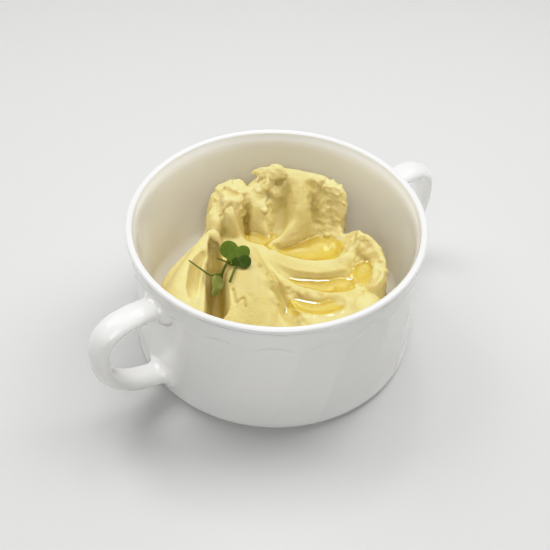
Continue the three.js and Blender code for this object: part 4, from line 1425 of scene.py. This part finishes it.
class BuildMash(bpy.types.Operator):
    """Builds the spooned heap of mashed potato"""
    bl_idname = "potato.build_mash"
    bl_label = "Mash"

    def execute(self, context):
        settings = context.scene.mash_settings
        body = heap_shell(settings.cell / MM).form()
        flakes = [sweep(*flake) for flake in FLAKES]
        mesh = join_forms("mash", [body] + flakes + crumbs() + edge_crumbs())
        recalculate_outside(mesh)
        heap = add_object("potato_heap", mesh)
        fuse(heap, settings.cell)
        roughen(heap.data, settings)
        thin_out(heap, settings.triangles)
        mesh = heap.data
        points = vertex_array(mesh)
        paint(mesh, "wet", wetness(points))
        paint(mesh, "soak_shade", soak_and_shade(points))
        paint(mesh, "torn", (torn(points[:, 0], points[:, 1]) - CALM) / (1 - CALM))
        paint(mesh, "hollow", hollowness(points))
        set_vertices(mesh, turned(points, SERVING_TURN))
        finish_piece(heap, mash_material(settings), "mash", "mash")
        return {"FINISHED"}


class BuildOil(bpy.types.Operator):
    """Builds the pools of oil in the spoon hollows"""
    bl_idname = "potato.build_oil"
    bl_label = "Oil"

    def execute(self, context):
        settings = context.scene.oil_settings
        material = oil_material(settings)
        for name in POOLS:
            mesh = pool_mesh(name, settings)
            recalculate_outside(mesh)
            finish_piece(add_object("pool_" + name, mesh), material, "oil", name)
        return {"FINISHED"}


class BuildSprouts(bpy.types.Operator):
    """Builds the sprig of salad sprouts"""
    bl_idname = "potato.build_sprouts"
    bl_label = "Sprouts"

    def execute(self, context):
        settings = context.scene.sprout_settings
        looks = {"sprout_bright": ("leaf_bright", settings.bright, 0.55),
                 # The second leaf's colour is painted shade.
                 "sprout_dark": ("leaf_dark", settings.shaded_leaf, 0.55),
                 "sprout_pale": ("leaf_pale", settings.pale, 0.5)}
        for name, (slot, colour, gloss) in looks.items():
            material = leaf_material(slot, colour, settings.stalk, gloss)
            finish_piece(add_object("sprig_" + name, sprout_mesh(name, settings)), material, slot, name)
        return {"FINISHED"}


class BuildStage(bpy.types.Operator):
    """Builds the pale floor, the soft light and the camera"""
    bl_idname = "potato.build_stage"
    bl_label = "Stage"

    def execute(self, context):
        settings = context.scene.stage_settings
        corners = [(x * FLOOR_HALF, y * FLOOR_HALF, 0) for x, y in ((-1, -1), (1, -1), (1, 1), (-1, 1))]
        mesh = bpy.data.meshes.new("floor")
        mesh.from_pydata(corners, [], [(0, 1, 2, 3)])
        floor = add_object("floor", mesh)
        floor.data.materials.append(floor_material(settings))
        self.light(context, settings)
        self.camera(context, settings)
        return {"FINISHED"}

    def light(self, context, settings):
        world = bpy.data.worlds.new("soft_room")
        world.use_nodes = True
        background = world.node_tree.nodes["Background"]
        background.inputs["Color"].default_value = (1.0, 1.0, 1.0, 1)
        background.inputs["Strength"].default_value = settings.fill
        context.scene.world = world
        for name, share, right, away, height, size in LAMPS:
            self.lamp(context, settings, name, settings.lamp_power * share, (right, away, height), size)
        glint = self.lamp(context, settings, "glint", settings.glint_power, *GLINT_LAMP)
        glint.visible_diffuse = False
        glint.visible_transmission = False
        self.tone(context)

    def lamp(self, context, settings, name, power, place, size):
        light = bpy.data.lights.new(name, "AREA")
        light.shape = "DISK"
        light.size = size
        light.energy = power
        lamp = bpy.data.objects.new(name, light)
        a = settings.camera_bearing
        right = Vector((math.cos(a), math.sin(a), 0))
        away = Vector((-math.sin(a), math.cos(a), 0))
        lamp.location = right * place[0] + away * place[1] + Vector((0, 0, place[2]))
        lamp.rotation_euler = (LAMP_AIM - lamp.location).to_track_quat("-Z", "Y").to_euler()
        context.scene.collection.objects.link(lamp)
        return lamp

    def tone(self, context):
        """A soft shoulder, so that white porcelain keeps its form in the light."""
        view = context.scene.view_settings
        view.view_transform = "Standard"
        view.look = "None"
        view.use_curve_mapping = True
        mapping = view.curve_mapping
        mapping.white_level = (TONE_WHITE,) * 3
        points = mapping.curves[3].points
        for x in TONE_POINTS:
            points.new(x / TONE_WHITE, shoulder(x))
        points[-1].location = (1, shoulder(TONE_WHITE))
        mapping.update()

    def camera(self, context, settings):
        a, e, roll = settings.camera_bearing, settings.camera_pitch, settings.camera_roll
        right = Vector((math.cos(a), math.sin(a), 0))
        back = Vector((math.sin(a) * math.cos(e), -math.cos(a) * math.cos(e), math.sin(e)))
        up = back.cross(right)
        place = Vector((0, 0, RIM_HEIGHT * MM)) + back * settings.camera_distance - up * settings.camera_drop
        camera = bpy.data.cameras.new("camera")
        camera.sensor_width = 36
        camera.lens = settings.lens
        camera.clip_start = 0.01
        eye = bpy.data.objects.new("camera", camera)
        matrix = Matrix((math.cos(roll) * right + math.sin(roll) * up,
                         math.cos(roll) * up - math.sin(roll) * right, back)).transposed().to_4x4()
        matrix.translation = place
        eye.matrix_world = matrix
        context.scene.collection.objects.link(eye)
        context.scene.camera = eye


class PotatoPanel(bpy.types.Panel):
    bl_idname = "VIEW3D_PT_potato"
    bl_label = "Mashed potato"
    bl_space_type = "VIEW_3D"
    bl_region_type = "UI"
    bl_category = "Potato"

    def draw(self, context):
        scene = context.scene
        for operator, group in ((BuildCup, "cup_settings"), (BuildMash, "mash_settings"),
                                (BuildOil, "oil_settings"), (BuildSprouts, "sprout_settings"),
                                (BuildStage, "stage_settings")):
            box = self.layout.box()
            box.operator(operator.bl_idname)
            settings = getattr(scene, group)
            for name in settings.__annotations__:
                box.prop(settings, name)


SETTINGS = {"cup_settings": CupSettings, "mash_settings": MashSettings, "oil_settings": OilSettings,
            "sprout_settings": SproutSettings, "stage_settings": StageSettings}
CLASSES = (*SETTINGS.values(), BuildCup, BuildMash, BuildOil, BuildSprouts, BuildStage, PotatoPanel)


def register():
    for cls in CLASSES:
        bpy.utils.register_class(cls)
    for name, group in SETTINGS.items():
        setattr(bpy.types.Scene, name, PointerProperty(type=group))


def unregister():
    for name in SETTINGS:
        delattr(bpy.types.Scene, name)
    for cls in reversed(CLASSES):
        bpy.utils.unregister_class(cls)


def main():
    register()
    bpy.ops.potato.build_stage()
    bpy.ops.potato.build_cup()
    bpy.ops.potato.build_mash()
    bpy.ops.potato.build_oil()
    bpy.ops.potato.build_sprouts()


if __name__ == "__main__":
    main()
